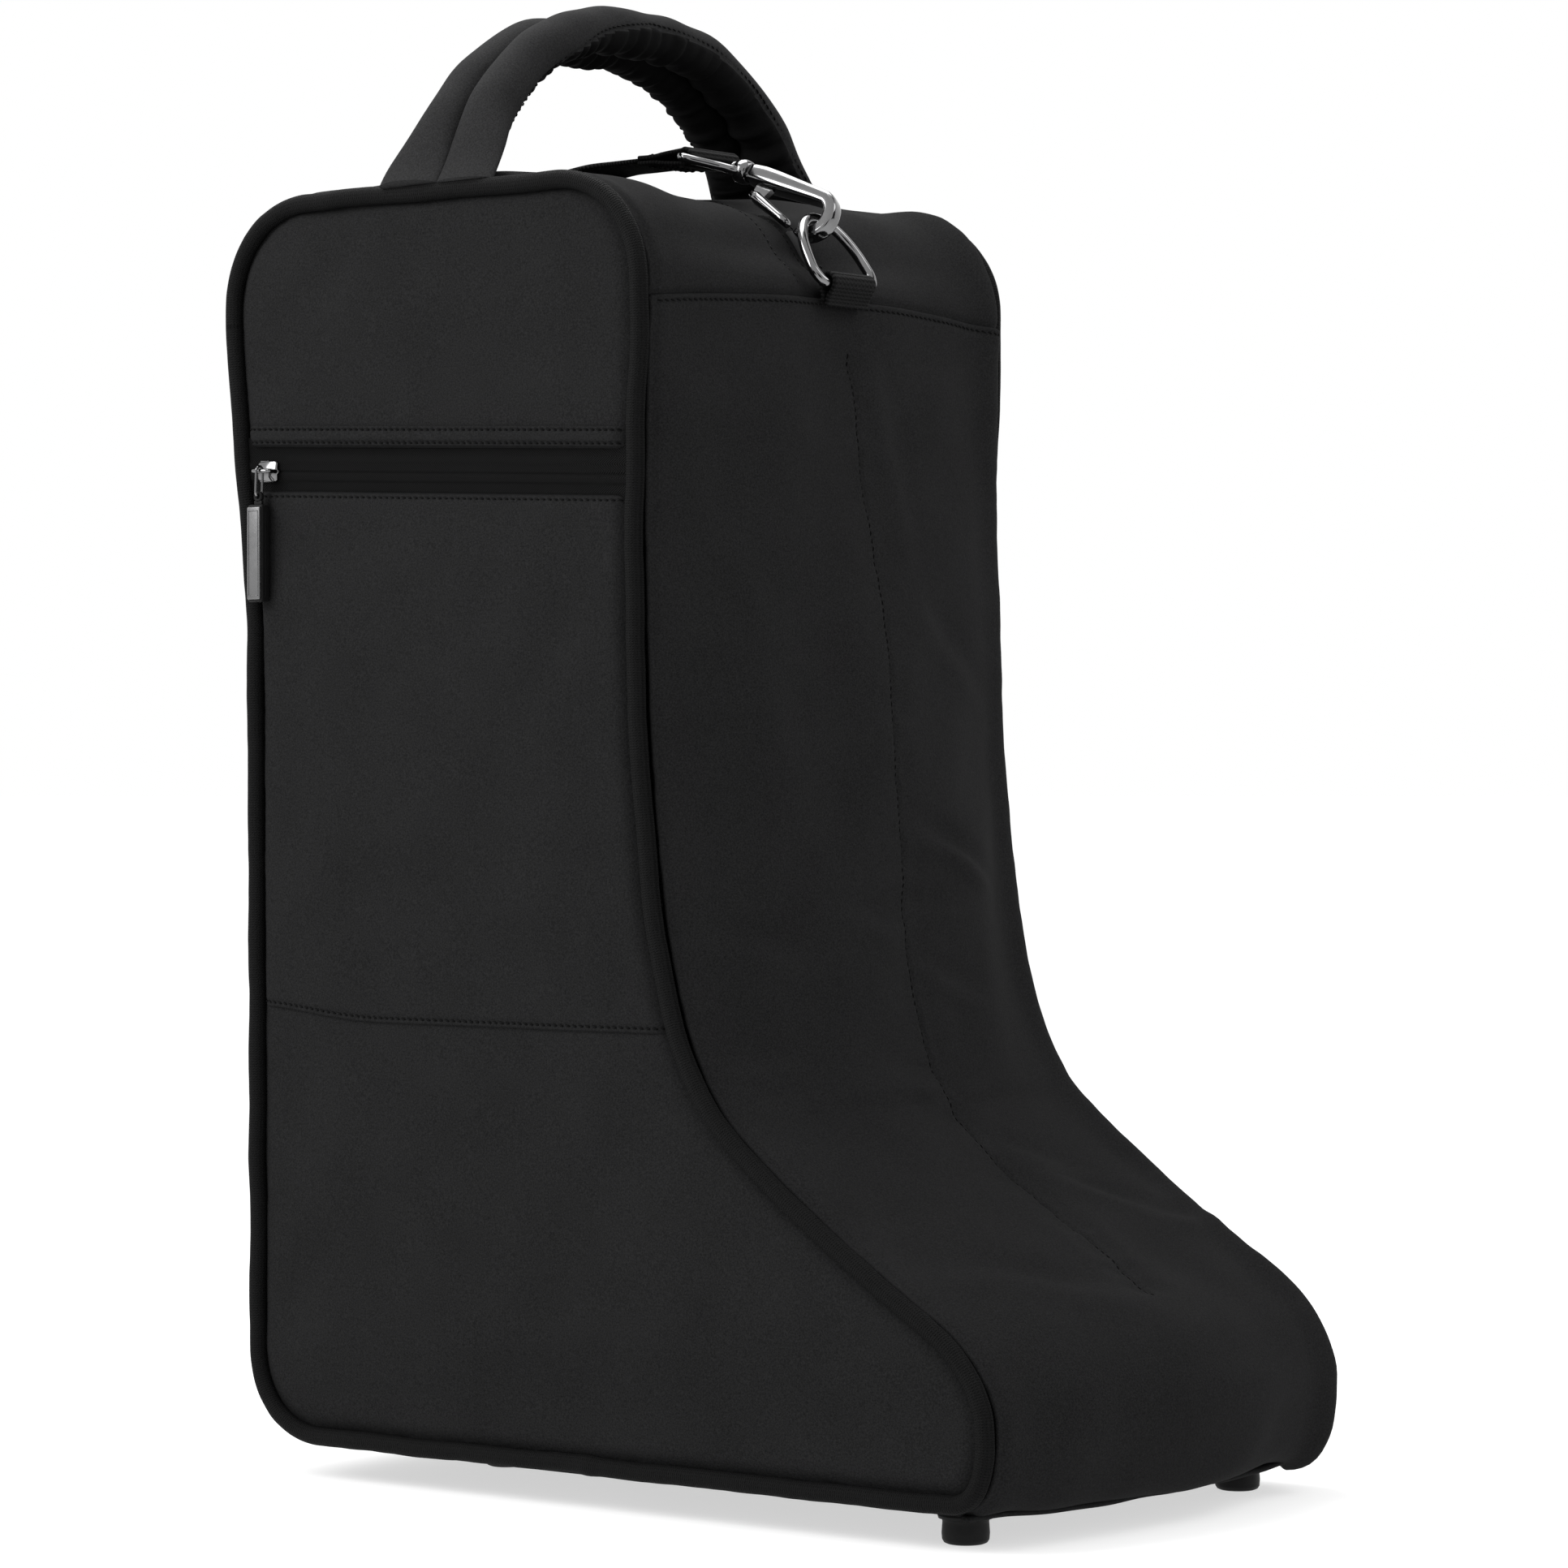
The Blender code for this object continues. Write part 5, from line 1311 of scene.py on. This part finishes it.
def make_ring(name, local, body):
    points = [(0.0, 0.0, w) for w in (-0.0150, -0.0080, 0.0, 0.0080, 0.0150)]
    for k in range(15):
        a = pi / 2 - pi * k / 14
        points.append((0.0045 + (RING_DEPTH - 0.0045) * cos(a), 0.0, RING_HALF * sin(a)))
    path = smooth_path(local.at(points), 0.0009, closed=True)
    ring = tube(name + "_wire", path, RING_R, GUNMETAL, local.v, sides=20, closed=True)
    show(ring, body, "gunmetal", name)


FOLD_BOX = ((-0.8, 0.8, 0.50, 0.50), (-0.8, 0.8, 0.88, 0.88),      # sewn box: from and to, across and along
            (-0.8, -0.8, 0.50, 0.88), (0.8, 0.8, 0.50, 0.88))


def wrap_path(length, wrap_r):
    """Side view of webbing folded round a bar, tails together at the end."""
    side = wrap_r + WEB_T / 2
    spread = 0.0011
    path = [(length, spread), (length * 0.7, spread), (length * 0.42, side * 0.62)]
    path += [(side * cos(radians(a)), side * sin(radians(a))) for a in range(60, 301, 20)]
    path += [(length * 0.42, -side * 0.62), (length * 0.7, -spread), (length, -spread)]
    return path


def make_fold(name, local, length, wrap_r, half_w, node, sewn=True):
    """Webbing end round a bar at the frame's origin, tails along u, with its stitching."""
    flat = smooth_path([(a, b, 0.0) for a, b in wrap_path(length, wrap_r)], 0.0007)
    path = local.at(flat)
    web = band(name, path, local.w, half_w * 2, WEB_T)
    show(web, "bag", "webbing", node)
    if sewn:
        rows = []
        for sign in (1, -1):
            for w0, w1, u0, u1 in FOLD_BOX:
                t = np.linspace(0, 1, 24)
                u = mix(u0, u1, t) * length
                lift = np.interp(u, [0.42 * length, 0.7 * length], [wrap_r * 0.62 + 0.0014, 0.0021])
                line = xyz(u, sign * lift, mix(w0, w1, t) * half_w)
                rows.append((local.at(line), np.tile(local.v * sign, (24, 1))))
        sew(name + "_thread", "bag", "webbing", rows)


def lathe(name, local, profile, sides):
    """Round metal from (along u, radius) pairs."""
    a = 2 * pi * np.arange(sides) / sides
    return loft(name, [local.at(xyz(u, r * np.cos(a), r * np.sin(a))) for u, r in profile], GUNMETAL)


def make_eye(name, local):
    """Triangular loop that holds the webbing, and the collar that the hook turns in."""
    half = [(0.0, 0.0), (0.0, 0.0100), (0.0002, 0.0158), (0.0018, 0.0190), (0.0056, 0.0176), (0.0125, 0.0092),
            (0.0182, 0.0044)]
    loop = half + [(u, -w) for u, w in half[:0:-1]]
    path = smooth_path(local.at([(u, 0.0, w) for u, w in loop]), 0.0010, closed=True)
    wire = tube("eye_wire", path, 0.0018, GUNMETAL, local.v, sides=16, closed=True)
    profile = [(0.0160, 0.0024), (0.0162, 0.0040), (0.0170, 0.0048), (0.0196, 0.0051), (0.0220, 0.0047),
               (0.0226, 0.0036), (0.0226, 0.0022)]
    collar = lathe("eye_collar", local, profile, 28)
    show(join(f"{name}_casting", [wire, collar]), "bag", "gunmetal", name)


def hook_sections():
    """Centre u, v, direction and half sizes along the hook, from collar to tip."""
    rows = [(u, 0.0, 0.0, w, t) for u, w, t in (
        (0.0230, 0.0032, 0.0028), (0.0236, 0.0040, 0.0034), (0.0262, 0.0046, 0.0037),
        (0.0320, 0.0052, 0.0040), (0.0400, 0.0052, 0.0038), (0.0480, 0.0048, 0.0034),
        (0.0550, 0.0044, 0.0031), (0.0600, 0.0041, 0.0029))]
    for k in range(1, 19):
        a = pi / 2 - radians(200) * k / 18
        u = HOOK_BOWL_U - 0.001 + BOWL_R * cos(a)
        v = -BOWL_DROP + (BOWL_DROP if a > 0 else BOWL_R) * sin(a)
        tip = 1 - 0.25 * max(0.0, (k - 14) / 4) ** 2
        rows.append((u, v, a - pi / 2, mix(0.0040, 0.0031, k / 18) * tip, mix(0.0029, 0.0025, k / 18) * tip))
    return rows


def make_hook(name, local, body, node):
    section = squircle(24, 4.5)
    rings = []
    for u, v, turn, half_w, half_t in hook_sections():
        w, t = section.T
        rings.append(local.at(xyz(u - sin(turn) * t * half_t, v + cos(turn) * t * half_t, w * half_w)))
    shank = loft("shank", rings, GUNMETAL)
    stud = lathe("stud", local, ((0.0130, 0.0004), (0.0131, 0.0022), (0.0138, 0.0030), (0.0150, 0.0030),
                                 (0.0155, 0.0018), (0.0250, 0.0017)), 18)
    lug = [(0.0300, -0.0010), (0.0302, -0.0080), (0.0318, -0.0110), (0.0349, -0.0110), (0.0365, -0.0080),
           (0.0385, -0.0010)]
    rings = [local.at([(u, v, w) for u, v in lug]) for w in (-0.0013, 0.0013)]
    lug = loft("lug", rings, GUNMETAL)
    lug.data.shade_flat()
    show(join(f"{name}_casting", [shank, stud, lug]), body, "gunmetal", node)


def make_gate(name, local, body, node):
    end = np.array([HOOK_BOWL_U - 0.0042, -BOWL_DROP - BOWL_R + 0.0002])
    along = unit(end - GATE_PIN)
    side = np.array([-along[1], along[0]])
    section = squircle(16, 2.8)
    rings = []
    for t, half_w, half_t in ((-0.0036, 0.0022, 0.0009), (-0.0030, 0.0031, 0.0018), (0.0, 0.0035, 0.0024),
                              (0.0040, 0.0036, 0.0022), (0.0100, 0.0034, 0.0018), (0.0160, 0.0031, 0.0017),
                              (0.0202, 0.0028, 0.0016), (0.0208, 0.0022, 0.0011)):
        centre = (GATE_PIN + along * t)[:, None] + side[:, None] * section[:, 1] * half_t
        rings.append(local.at(xyz(centre[0], centre[1], section[:, 0] * half_w)))
    lever = loft(f"{name}_lever", rings, GUNMETAL)
    show(lever, body, "gunmetal", node)


def make_hardware():
    """Both sets of ring, eye, hook, gate and webbing end, in the CAD's frames."""
    front_bar = np.array(JOINTS["front_ring_play"]["pos_m"])
    front_bow = np.array((0.0155, 0.0, 0.5005))
    way = unit(front_bow - front_bar)
    make_ring("front_d_ring", Local(front_bar, way, np.cross(way, (0, 1, 0))), "front_ring")
    tail = unit(np.array((0.0300, 0.0, 0.4640)) - front_bar)
    make_fold("front_chape_web", Local(front_bar, tail, np.cross((0, 1, 0), tail)), 0.0092, RING_R + 0.0004,
              0.0135, "front_chape", sewn=False)
    along = np.array(JOINTS["front_hook_swivel"]["axis"])
    up = np.array((-along[2], 0.0, along[0]))
    rolled = up * cos(radians(30)) + np.array((0, sin(radians(30)), 0))
    build_hook("front", along, up, rolled, np.array((-1, 0, 0)))

    rear_bar = np.array(JOINTS["rear_ring_play"]["pos_m"])
    make_ring("rear_d_ring", Local(rear_bar, (0, 0, -1), (0, 1, 0)), "rear_ring")
    make_fold("rear_chape_web", Local(rear_bar, (0, -0.86, 0.51), (0, 0.51, 0.86)), 0.0115, RING_R + 0.0004,
              0.0100, "rear_chape", sewn=False)
    rolled = np.array((-sin(radians(40)), -cos(radians(40)), 0))
    build_hook("rear", (0, 0, 1), (0, -1, 0), rolled, np.array((0, 0, -1)))


def build_hook(side, along, up, rolled, web_way):
    """The eye lies flat on its webbing; the hook and its gate are rolled about their length."""
    origin = JOINTS[f"{side}_hook_swivel"]["pos_m"]
    flat = Local(origin, along, up)
    turned_frame = Local(origin, along, rolled)
    make_eye(f"{side}_swivel_eye", flat)
    make_hook(f"{side}_hook", turned_frame, f"{side}_hook", f"{side}_hook_body")
    make_gate(f"{side}_gate", turned_frame, f"{side}_gate", f"{side}_hook_gate")
    fold = Local(origin, web_way, np.cross(flat.w, web_way))
    make_fold(f"{side}_fold_web", fold, FOLD_L, 0.0022, WEB_W / 2, f"{side}_strap_fold")


# ---- shoulder strap
def strap_route():
    """Centre and width direction of the webbing, from the front hook to the rear hook."""
    front = np.array(JOINTS["front_hook_swivel"]["pos_m"]) + np.array((-FOLD_L - 0.0008, 0, 0))
    rear = np.array(JOINTS["rear_hook_swivel"]["pos_m"]) + np.array((0, 0, -FOLD_L - 0.0008))
    return [
        (front, (0.0, 1.0, 0.0)),
        (front + (-0.0130, 0.0, -0.0002), (0.0, 1.0, 0.0)),
        ((-0.0940, 0.0045, 0.5280), (0.0, 1.0, 0.0)),
        ((-0.1100, 0.0080, 0.5262), (0.15, 1.0, 0.0)),
        ((-0.1250, 0.0210, 0.5235), (0.60, 0.85, 0.0)),
        ((-0.1325, 0.0420, 0.5215), (0.93, 0.40, 0.0)),
        ((-0.1355, 0.0640, 0.5195), (1.0, 0.10, 0.0)),
        ((-0.1355, 0.0860, 0.5185), (1.0, 0.0, 0.0)),
        ((-0.1355, 0.1060, 0.5175), (1.0, 0.0, 0.0)),
        ((-0.1355, 0.1170, 0.5145), (1.0, 0.0, 0.0)),
        ((-0.1353, 0.1205, 0.5020), (1.0, 0.0, 0.0)),
        ((-0.1350, 0.1185, 0.4700), (1.0, 0.0, 0.0)),
        ((-0.1340, 0.1172, 0.4200), (1.0, 0.0, 0.0)),
        ((-0.1310, 0.1172, 0.3400), (1.0, 0.0, 0.02)),
        ((-0.1290, 0.1175, 0.2400), (1.0, 0.0, 0.04)),
        ((-0.1310, 0.1185, 0.1700), (1.0, 0.0, 0.06)),
        ((-0.1330, 0.1230, 0.1420), (1.0, 0.0, 0.08)),
        ((-0.1355, 0.1295, 0.1330), (1.0, 0.0, 0.08)),
        ((-0.1380, 0.1355, 0.1430), (1.0, 0.0, 0.08)),
        ((-0.1420, 0.1370, 0.1750), (1.0, 0.0, 0.10)),
        ((-0.1520, 0.1360, 0.2500), (1.0, 0.0, 0.12)),
        ((-0.1630, 0.1320, 0.3300), (1.0, 0.0, 0.06)),
        (rear + (0.0, 0.0010, -0.0260), (1.0, 0.0, 0.0)),
        (rear, (1.0, 0.0, 0.0)),
    ]


def make_strap():
    route = strap_route()
    both = np.array([np.concatenate([centre, across]) for centre, across in route])
    both = smooth_path(both, 0.0022)
    strap = band("shoulder_strap", both[:, :3], both[:, 3:], WEB_W, WEB_T)
    show(strap, "bag", "webbing", "strap_webbing")


def make_adjuster():
    """Flat frame on the webbing, with its middle bar behind."""
    low, high = (np.array(corner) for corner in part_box("strap_slide_adjuster"))
    middle = (low + high) / 2
    way = np.array(JOINTS["strap_adjuster_slide"]["axis"])
    local = Local(middle, way, (0.0, 1.0, 0.0))
    half_u, half_w = 0.0088, WEB_W / 2 + 0.0022
    corner = 0.0020
    ring = []
    for u, w in ((1, 1), (-1, 1), (-1, -1), (1, -1)):
        cut = [(u * half_u, ADJUSTER_OUT, w * (half_w - corner)),
               (u * (half_u - corner), ADJUSTER_OUT, w * half_w)]
        ring += cut if u * w > 0 else cut[::-1]
    edges = []
    for a, b in zip(ring, ring[1:] + ring[:1]):
        steps = max(2, int(np.linalg.norm(np.subtract(b, a)) / 0.0010))
        edges += [mix(np.array(a), np.array(b), k / steps) for k in range(steps)]
    frame_bar = tube("frame_bar", local.at(edges), 0.0018, GUNMETAL, local.v, sides=16, closed=True, flat=0.7)
    across = local.at(xyz(0.0, -0.0016, np.linspace(-half_w, half_w, 12)))
    bar = tube("middle_bar", across, 0.0013, GUNMETAL, local.v, sides=12)
    show(join("strap_adjuster_frame", [frame_bar, bar]), "strap_adjuster", "gunmetal", "strap_slide_adjuster")


# ---- CAD nodes that stay, with finish
def paint(node, mat):
    node.data.materials.clear()
    node.data.materials.append(mat)


def soften(node, width):
    """Rounded edges on a hard CAD piece."""
    bevel = node.modifiers.new("soft_edges", "BEVEL")
    bevel.width = width
    bevel.segments = 2
    bevel.limit_method = "ANGLE"
    bevel.angle_limit = radians(35)
    bevel.harden_normals = False


# ---- sliders and pulls
def rounded_box(name, local, low, high, radius, mat, segments):
    """A box in a local frame with round edges."""
    bm = bmesh.new()
    bmesh.ops.create_cube(bm, size=1.0)
    low, high = np.array(low), np.array(high)
    for v in bm.verts:
        v.co = Vector(local.at((low + high) / 2 + np.array(v.co) * (high - low))[0])
    bmesh.ops.bevel(bm, geom=list(bm.edges), offset=radius, segments=segments, affect="EDGES", profile=0.5)
    bmesh.ops.recalc_face_normals(bm, faces=bm.faces)
    mesh = bpy.data.meshes.new(name)
    bm.to_mesh(mesh)
    bm.free()
    mesh.materials.append(mat)
    mesh.shade_smooth()
    mesh.set_sharp_from_angle(angle=radians(40))
    obj = bpy.data.objects.new(name, mesh)
    bpy.context.scene.collection.objects.link(obj)
    return obj


def plate(name, local, outline, w_low, w_high, round_r=0.0004):
    """A flat metal plate from an outline in u and v, with softened rims."""
    outline = np.array(outline)
    middle = outline.mean(0)
    away = outline - middle
    size = np.linalg.norm(away, axis=1)[:, None]
    rings = []
    for w, shrink in ((w_low, round_r), (w_low + round_r, 0.0), (w_high - round_r, 0.0), (w_high, round_r)):
        u, v = (middle + away * (1 - shrink / size)).T
        rings.append(local.at(xyz(u, v, w)))
    return loft(name, rings, GUNMETAL)


def make_slider(name, local, body):
    """Shield-shaped plates, the wedge between them, and the bridge over the pull."""
    half = 0.0060
    shield = [(-half, -0.0026), (-half, 0.0026), (-0.0046, 0.0036), (0.0005, 0.0042), (0.0040, 0.0042),
              (0.0052, 0.0034), (0.0050, 0.0012), (half, 0.0), (0.0050, -0.0012), (0.0052, -0.0034),
              (0.0040, -0.0042), (0.0005, -0.0042), (-0.0046, -0.0036)]
    parts = [plate("front_plate", local, shield, 0.0004, 0.0022),
             plate("back_plate", local, [(u * 0.84, v) for u, v in shield], -0.0044, -0.0036, 0.0002),
             rounded_box("wedge", local, (-0.0018, -0.0007, -0.0038), (0.0042, 0.0007, 0.0006), 0.0002,
                         GUNMETAL, 2)]
    for sign in (-1, 1):
        parts.append(rounded_box("rail", local, (-0.0050, sign * 0.0038 - 0.0005, -0.0006),
                                 (0.0030, sign * 0.0038 + 0.0005, 0.0012), 0.0003, GUNMETAL, 2))
    arch = [(-0.0046, 0.0, 0.0016), (-0.0045, 0.0, 0.0050), (-0.0034, 0.0, 0.0064), (0.0, 0.0, 0.0067),
            (0.0034, 0.0, 0.0064), (0.0045, 0.0, 0.0050), (0.0046, 0.0, 0.0016)]
    parts.append(tube("bridge", smooth_path(local.at(arch), 0.0005), 0.00085, GUNMETAL, local.v, sides=12))
    show(join(f"{name}_casting", parts), body, "gunmetal", name)


def make_link(name, start, hang, wire, half_w, length, body):
    """A long wire loop that hangs from the slider's bridge."""
    points = []
    for centre, turn in ((0.0, -1.0), (length, 1.0)):
        for k in range(9):
            a = pi * k / 8
            points.append(start + hang * (centre + turn * half_w * sin(a)) - wire * turn * half_w * cos(a))
    path = smooth_path(points, 0.0004, closed=True)
    link = tube(f"{name}_wire", path, 0.00055, GUNMETAL, np.cross(hang, wire), sides=12, closed=True)
    show(link, body, "gunmetal", name)


PULL_HALF = 0.0040           # the pull's half width
FACE_HALF = 0.0035


def make_puller(prefix, hole_at, face_way, edge_on, middle, body):
    """Rubber pull with an inset metal face and a tongue bored for the link."""
    down = (0.0, 0.0, -1.0)
    local = Local(hole_at, down, np.cross(face_way, down))

    def tongue(u, v, w):
        return xyz(u, w, v) if edge_on else xyz(u, v, w)

    def slab(name, u, v, w, radius, mat, segments):
        low, high = zip(u, v, (middle + w[0], middle + w[1]))
        return rounded_box(name, local, low, high, radius, mat, segments)

    parts = [slab("grip", (0.0032, 0.0422), (-PULL_HALF, PULL_HALF), (-0.0025, 0.0025), 0.0010, RUBBER, 4)]
    for v in (-0.0037, 0.0037):
        parts.append(slab("side_rib", (0.0060, 0.0400), (v - 0.0004, v + 0.0004), (-0.0004, 0.0004), 0.0002,
                          RUBBER, 2))
    a = 2 * pi * np.arange(20) / 20
    eye = [local.at(tongue(r * np.cos(a), r * np.sin(a), w))
           for r, w in ((0.0010, -0.0007), (0.0021, -0.0007), (0.0021, 0.0007), (0.0010, 0.0007))]
    parts.append(outward_faces(grid("tongue_eye", np.array(eye), RUBBER, wrap_rows=True, wrap_cols=True)))
    low, high = tongue(0.0016, -0.0021, -0.0007), tongue(0.0045, 0.0021, 0.0007)
    parts.append(rounded_box("tongue", local, low, high, 0.0003, RUBBER, 2))
    show(join(f"{prefix}_puller_grip", parts), body, "pull_rubber", f"{prefix}_puller_body")

    parts = [slab("face", (0.0042, 0.0412), (-FACE_HALF, FACE_HALF), (0.0021, 0.0034), 0.0005, PULL_METAL, 4)]
    for u, v in (((0.0056, 0.0398), (-0.0028, -0.0024)), ((0.0056, 0.0398), (0.0024, 0.0028)),
                 ((0.0056, 0.0060), (-0.0028, 0.0028)), ((0.0394, 0.0398), (-0.0028, 0.0028))):
        parts.append(slab("rim", u, v, (0.0033, 0.0036), 0.0001, PULL_METAL, 1))
    show(join(f"{prefix}_puller_face", parts), body, "pull_metal", f"{prefix}_puller_plate")


def pull_places(prefix):
    """Slide direction, the link's pivot and the pull's pivot."""
    way = JOINTS[f"{prefix}_slider_slide"]["axis"]
    link_at = JOINTS[f"{prefix}_link_lift"]["pos_m"]
    return np.array(way), np.array(link_at), np.array(JOINTS[f"{prefix}_puller_swing"]["pos_m"])


def make_pulls():
    way, link_at, hole = pull_places("pocket")
    out = np.array((0.0, -1.0, 0.0))
    make_slider("pocket_slider", Local(link_at - out * 0.0066, way, np.cross(out, way)), "pocket_slider")
    hang = unit(hole - link_at)
    make_link("pocket_pull_link", link_at, hang, out, 0.0018, 0.0085, "pocket_link")
    make_puller("pocket", hole, out, False, 0.0, "pocket_puller")

    way, link_at, hole = pull_places("main")
    across = np.array((0.0, 1.0, 0.0))
    out = np.cross(way, across)
    make_slider("main_slider", Local(link_at - way * 0.0015 - out * 0.0044, way, across), "main_slider")
    hang = unit(hole - link_at)
    make_link("main_pull_link", link_at + hang * 0.0030, hang, across, 0.0030, 0.0100, "main_link")
    make_puller("main", hole, (-1.0, 0.0, 0.0), True, 0.0004, "main_puller")


# ---- inside of the bag
LINING_Y = 0.1079
DIVIDER_TOP = 0.4965


def make_inside():
    x, z = side_grid(side_bottom, side_top, edge_rows(0.49, 0.05, 0.03, 0.006), 60)
    for side, sign in (("near", -1), ("far", 1)):
        y = sign * (LINING_Y - 0.0006 * soft_noise(xyz(x, 0.0, z), 0.08, 81 + sign))
        sheet = thicken(grid(f"{side}_lining_cloth", xyz(x, y, z), LINING), 0.0010)
        show(sheet, "bag", "lining_fabric", f"{side}_lining")
    low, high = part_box("divider")
    x = np.maximum(x, low[0])
    z = np.clip(z, low[2], DIVIDER_TOP)
    from_middle = x - (low[0] + high[0]) / 2
    x = x - 0.004 * np.sign(from_middle) * ease(np.abs(from_middle) / 0.1)
    y = 0.0010 * soft_noise(xyz(x, 0.0, z), 0.09, 85)
    show(thicken(grid("divider_cloth", xyz(x, y, z), LINING), 0.0022), "bag", "lining_fabric", "divider")


# ---- build everything
make_strap()
make_hardware()
make_adjuster()
make_top()
make_front()
make_near_side()
make_far_side()
make_pocket_zip()
make_piping("near", -1)
make_piping("far", 1)
make_lower_rear()
make_door("near", -1)
make_door("far", 1)
make_zip_end()
make_base()
make_feet()
handle_roll("handle_rear_channel", -1, "handle_rear_roll", "near_handle_foot")
handle_roll("handle_front_channel", 1, "handle_front_roll", "far_handle_foot")
make_pulls()
make_inside()

for name in ("pocket_coil_upper", "pocket_coil_lower", "near_main_coil", "far_main_coil"):
    paint(frame["nodes"][name], COIL)
for name in ("front_gate_pin", "rear_gate_pin"):
    soften(frame["nodes"][name], 0.0003)
    paint(frame["nodes"][name], GUNMETAL)
paint(frame["nodes"]["base_board"], BOARD)


# ---- floor, light and dark cards
def stand(obj, place, aim):
    """Put a light or a card in the studio, facing the aim."""
    place = Vector(place)
    obj.location = place
    obj.rotation_euler = (Vector(aim) - place).to_track_quat("-Z", "Y").to_euler()
    obj.visible_camera = False
    bpy.context.scene.collection.objects.link(obj)


def area_light(name, place, aim, size, strength):
    data = bpy.data.lights.new(name, "AREA")
    data.shape = "RECTANGLE"
    data.size, data.size_y = size, size
    data.energy = strength
    stand(bpy.data.objects.new(name, data), place, aim)


def dark_card(name, place, width, height):
    """A card that only reflections see."""
    w, h = width / 2, height / 2
    mesh = bpy.data.meshes.new(name)
    mesh.from_pydata([(-w, -h, 0), (w, -h, 0), (w, h, 0), (-w, h, 0)], [], [(0, 1, 2, 3)])
    mat = bpy.data.materials.new(name)
    mat.use_nodes = True
    shader = mat.node_tree.nodes["Principled BSDF"]
    shader.inputs["Base Color"].default_value = (0.004, 0.004, 0.004, 1)
    shader.inputs["Roughness"].default_value = 1.0
    mesh.materials.append(mat)
    obj = bpy.data.objects.new(name, mesh)
    obj.visible_diffuse = False
    obj.visible_shadow = False
    stand(obj, place, (0.0, 0.0, 0.50))


def make_floor():
    material = bpy.data.materials.new("floor")
    material.use_nodes = True
    shader = material.node_tree.nodes["Principled BSDF"]
    shader.inputs["Base Color"].default_value = (0.45, 0.45, 0.45, 1)
    shader.inputs["Roughness"].default_value = 0.9
    shader.inputs["Specular IOR Level"].default_value = 0.0
    shader.inputs["Emission Color"].default_value = (1, 1, 1, 1)
    shader.inputs["Emission Strength"].default_value = 0.60
    a = 2 * pi * np.arange(64) / 64
    floor = add_mesh("floor", xyz(40 * np.cos(a), 40 * np.sin(a), 0.0), [tuple(range(64))], material)


def make_world(strength):
    world = bpy.data.worlds.new("world")
    bpy.context.scene.world = world
    world.use_nodes = True
    back = world.node_tree.nodes["Background"]
    back.inputs["Color"].default_value = (1, 1, 1, 1)
    back.inputs["Strength"].default_value = strength


make_floor()
make_world(1.0)
area_light("key_light", (-0.70, -1.10, 1.15), (-0.05, -0.05, 0.40), 0.9, 20.0)
area_light("far_light", (0.95, 0.80, 1.35), (0.0, 0.0, 0.45), 0.8, 7.0)
area_light("top_light", (-0.25, 0.10, 1.12), (-0.08, 0.0, 0.50), 0.6, 6.3)
dark_card("dark_card_front", (1.9, -1.2, 0.75), 1.1, 1.1)
dark_card("dark_card_side", (0.35, -2.1, 0.35), 0.9, 0.9)
dark_card("dark_card_far", (1.5, 1.3, 0.9), 1.2, 1.2)
dark_card("dark_card_over", (0.5, 0.6, 1.7), 0.35, 1.4)
bpy.context.scene.view_settings.view_transform = "Standard"
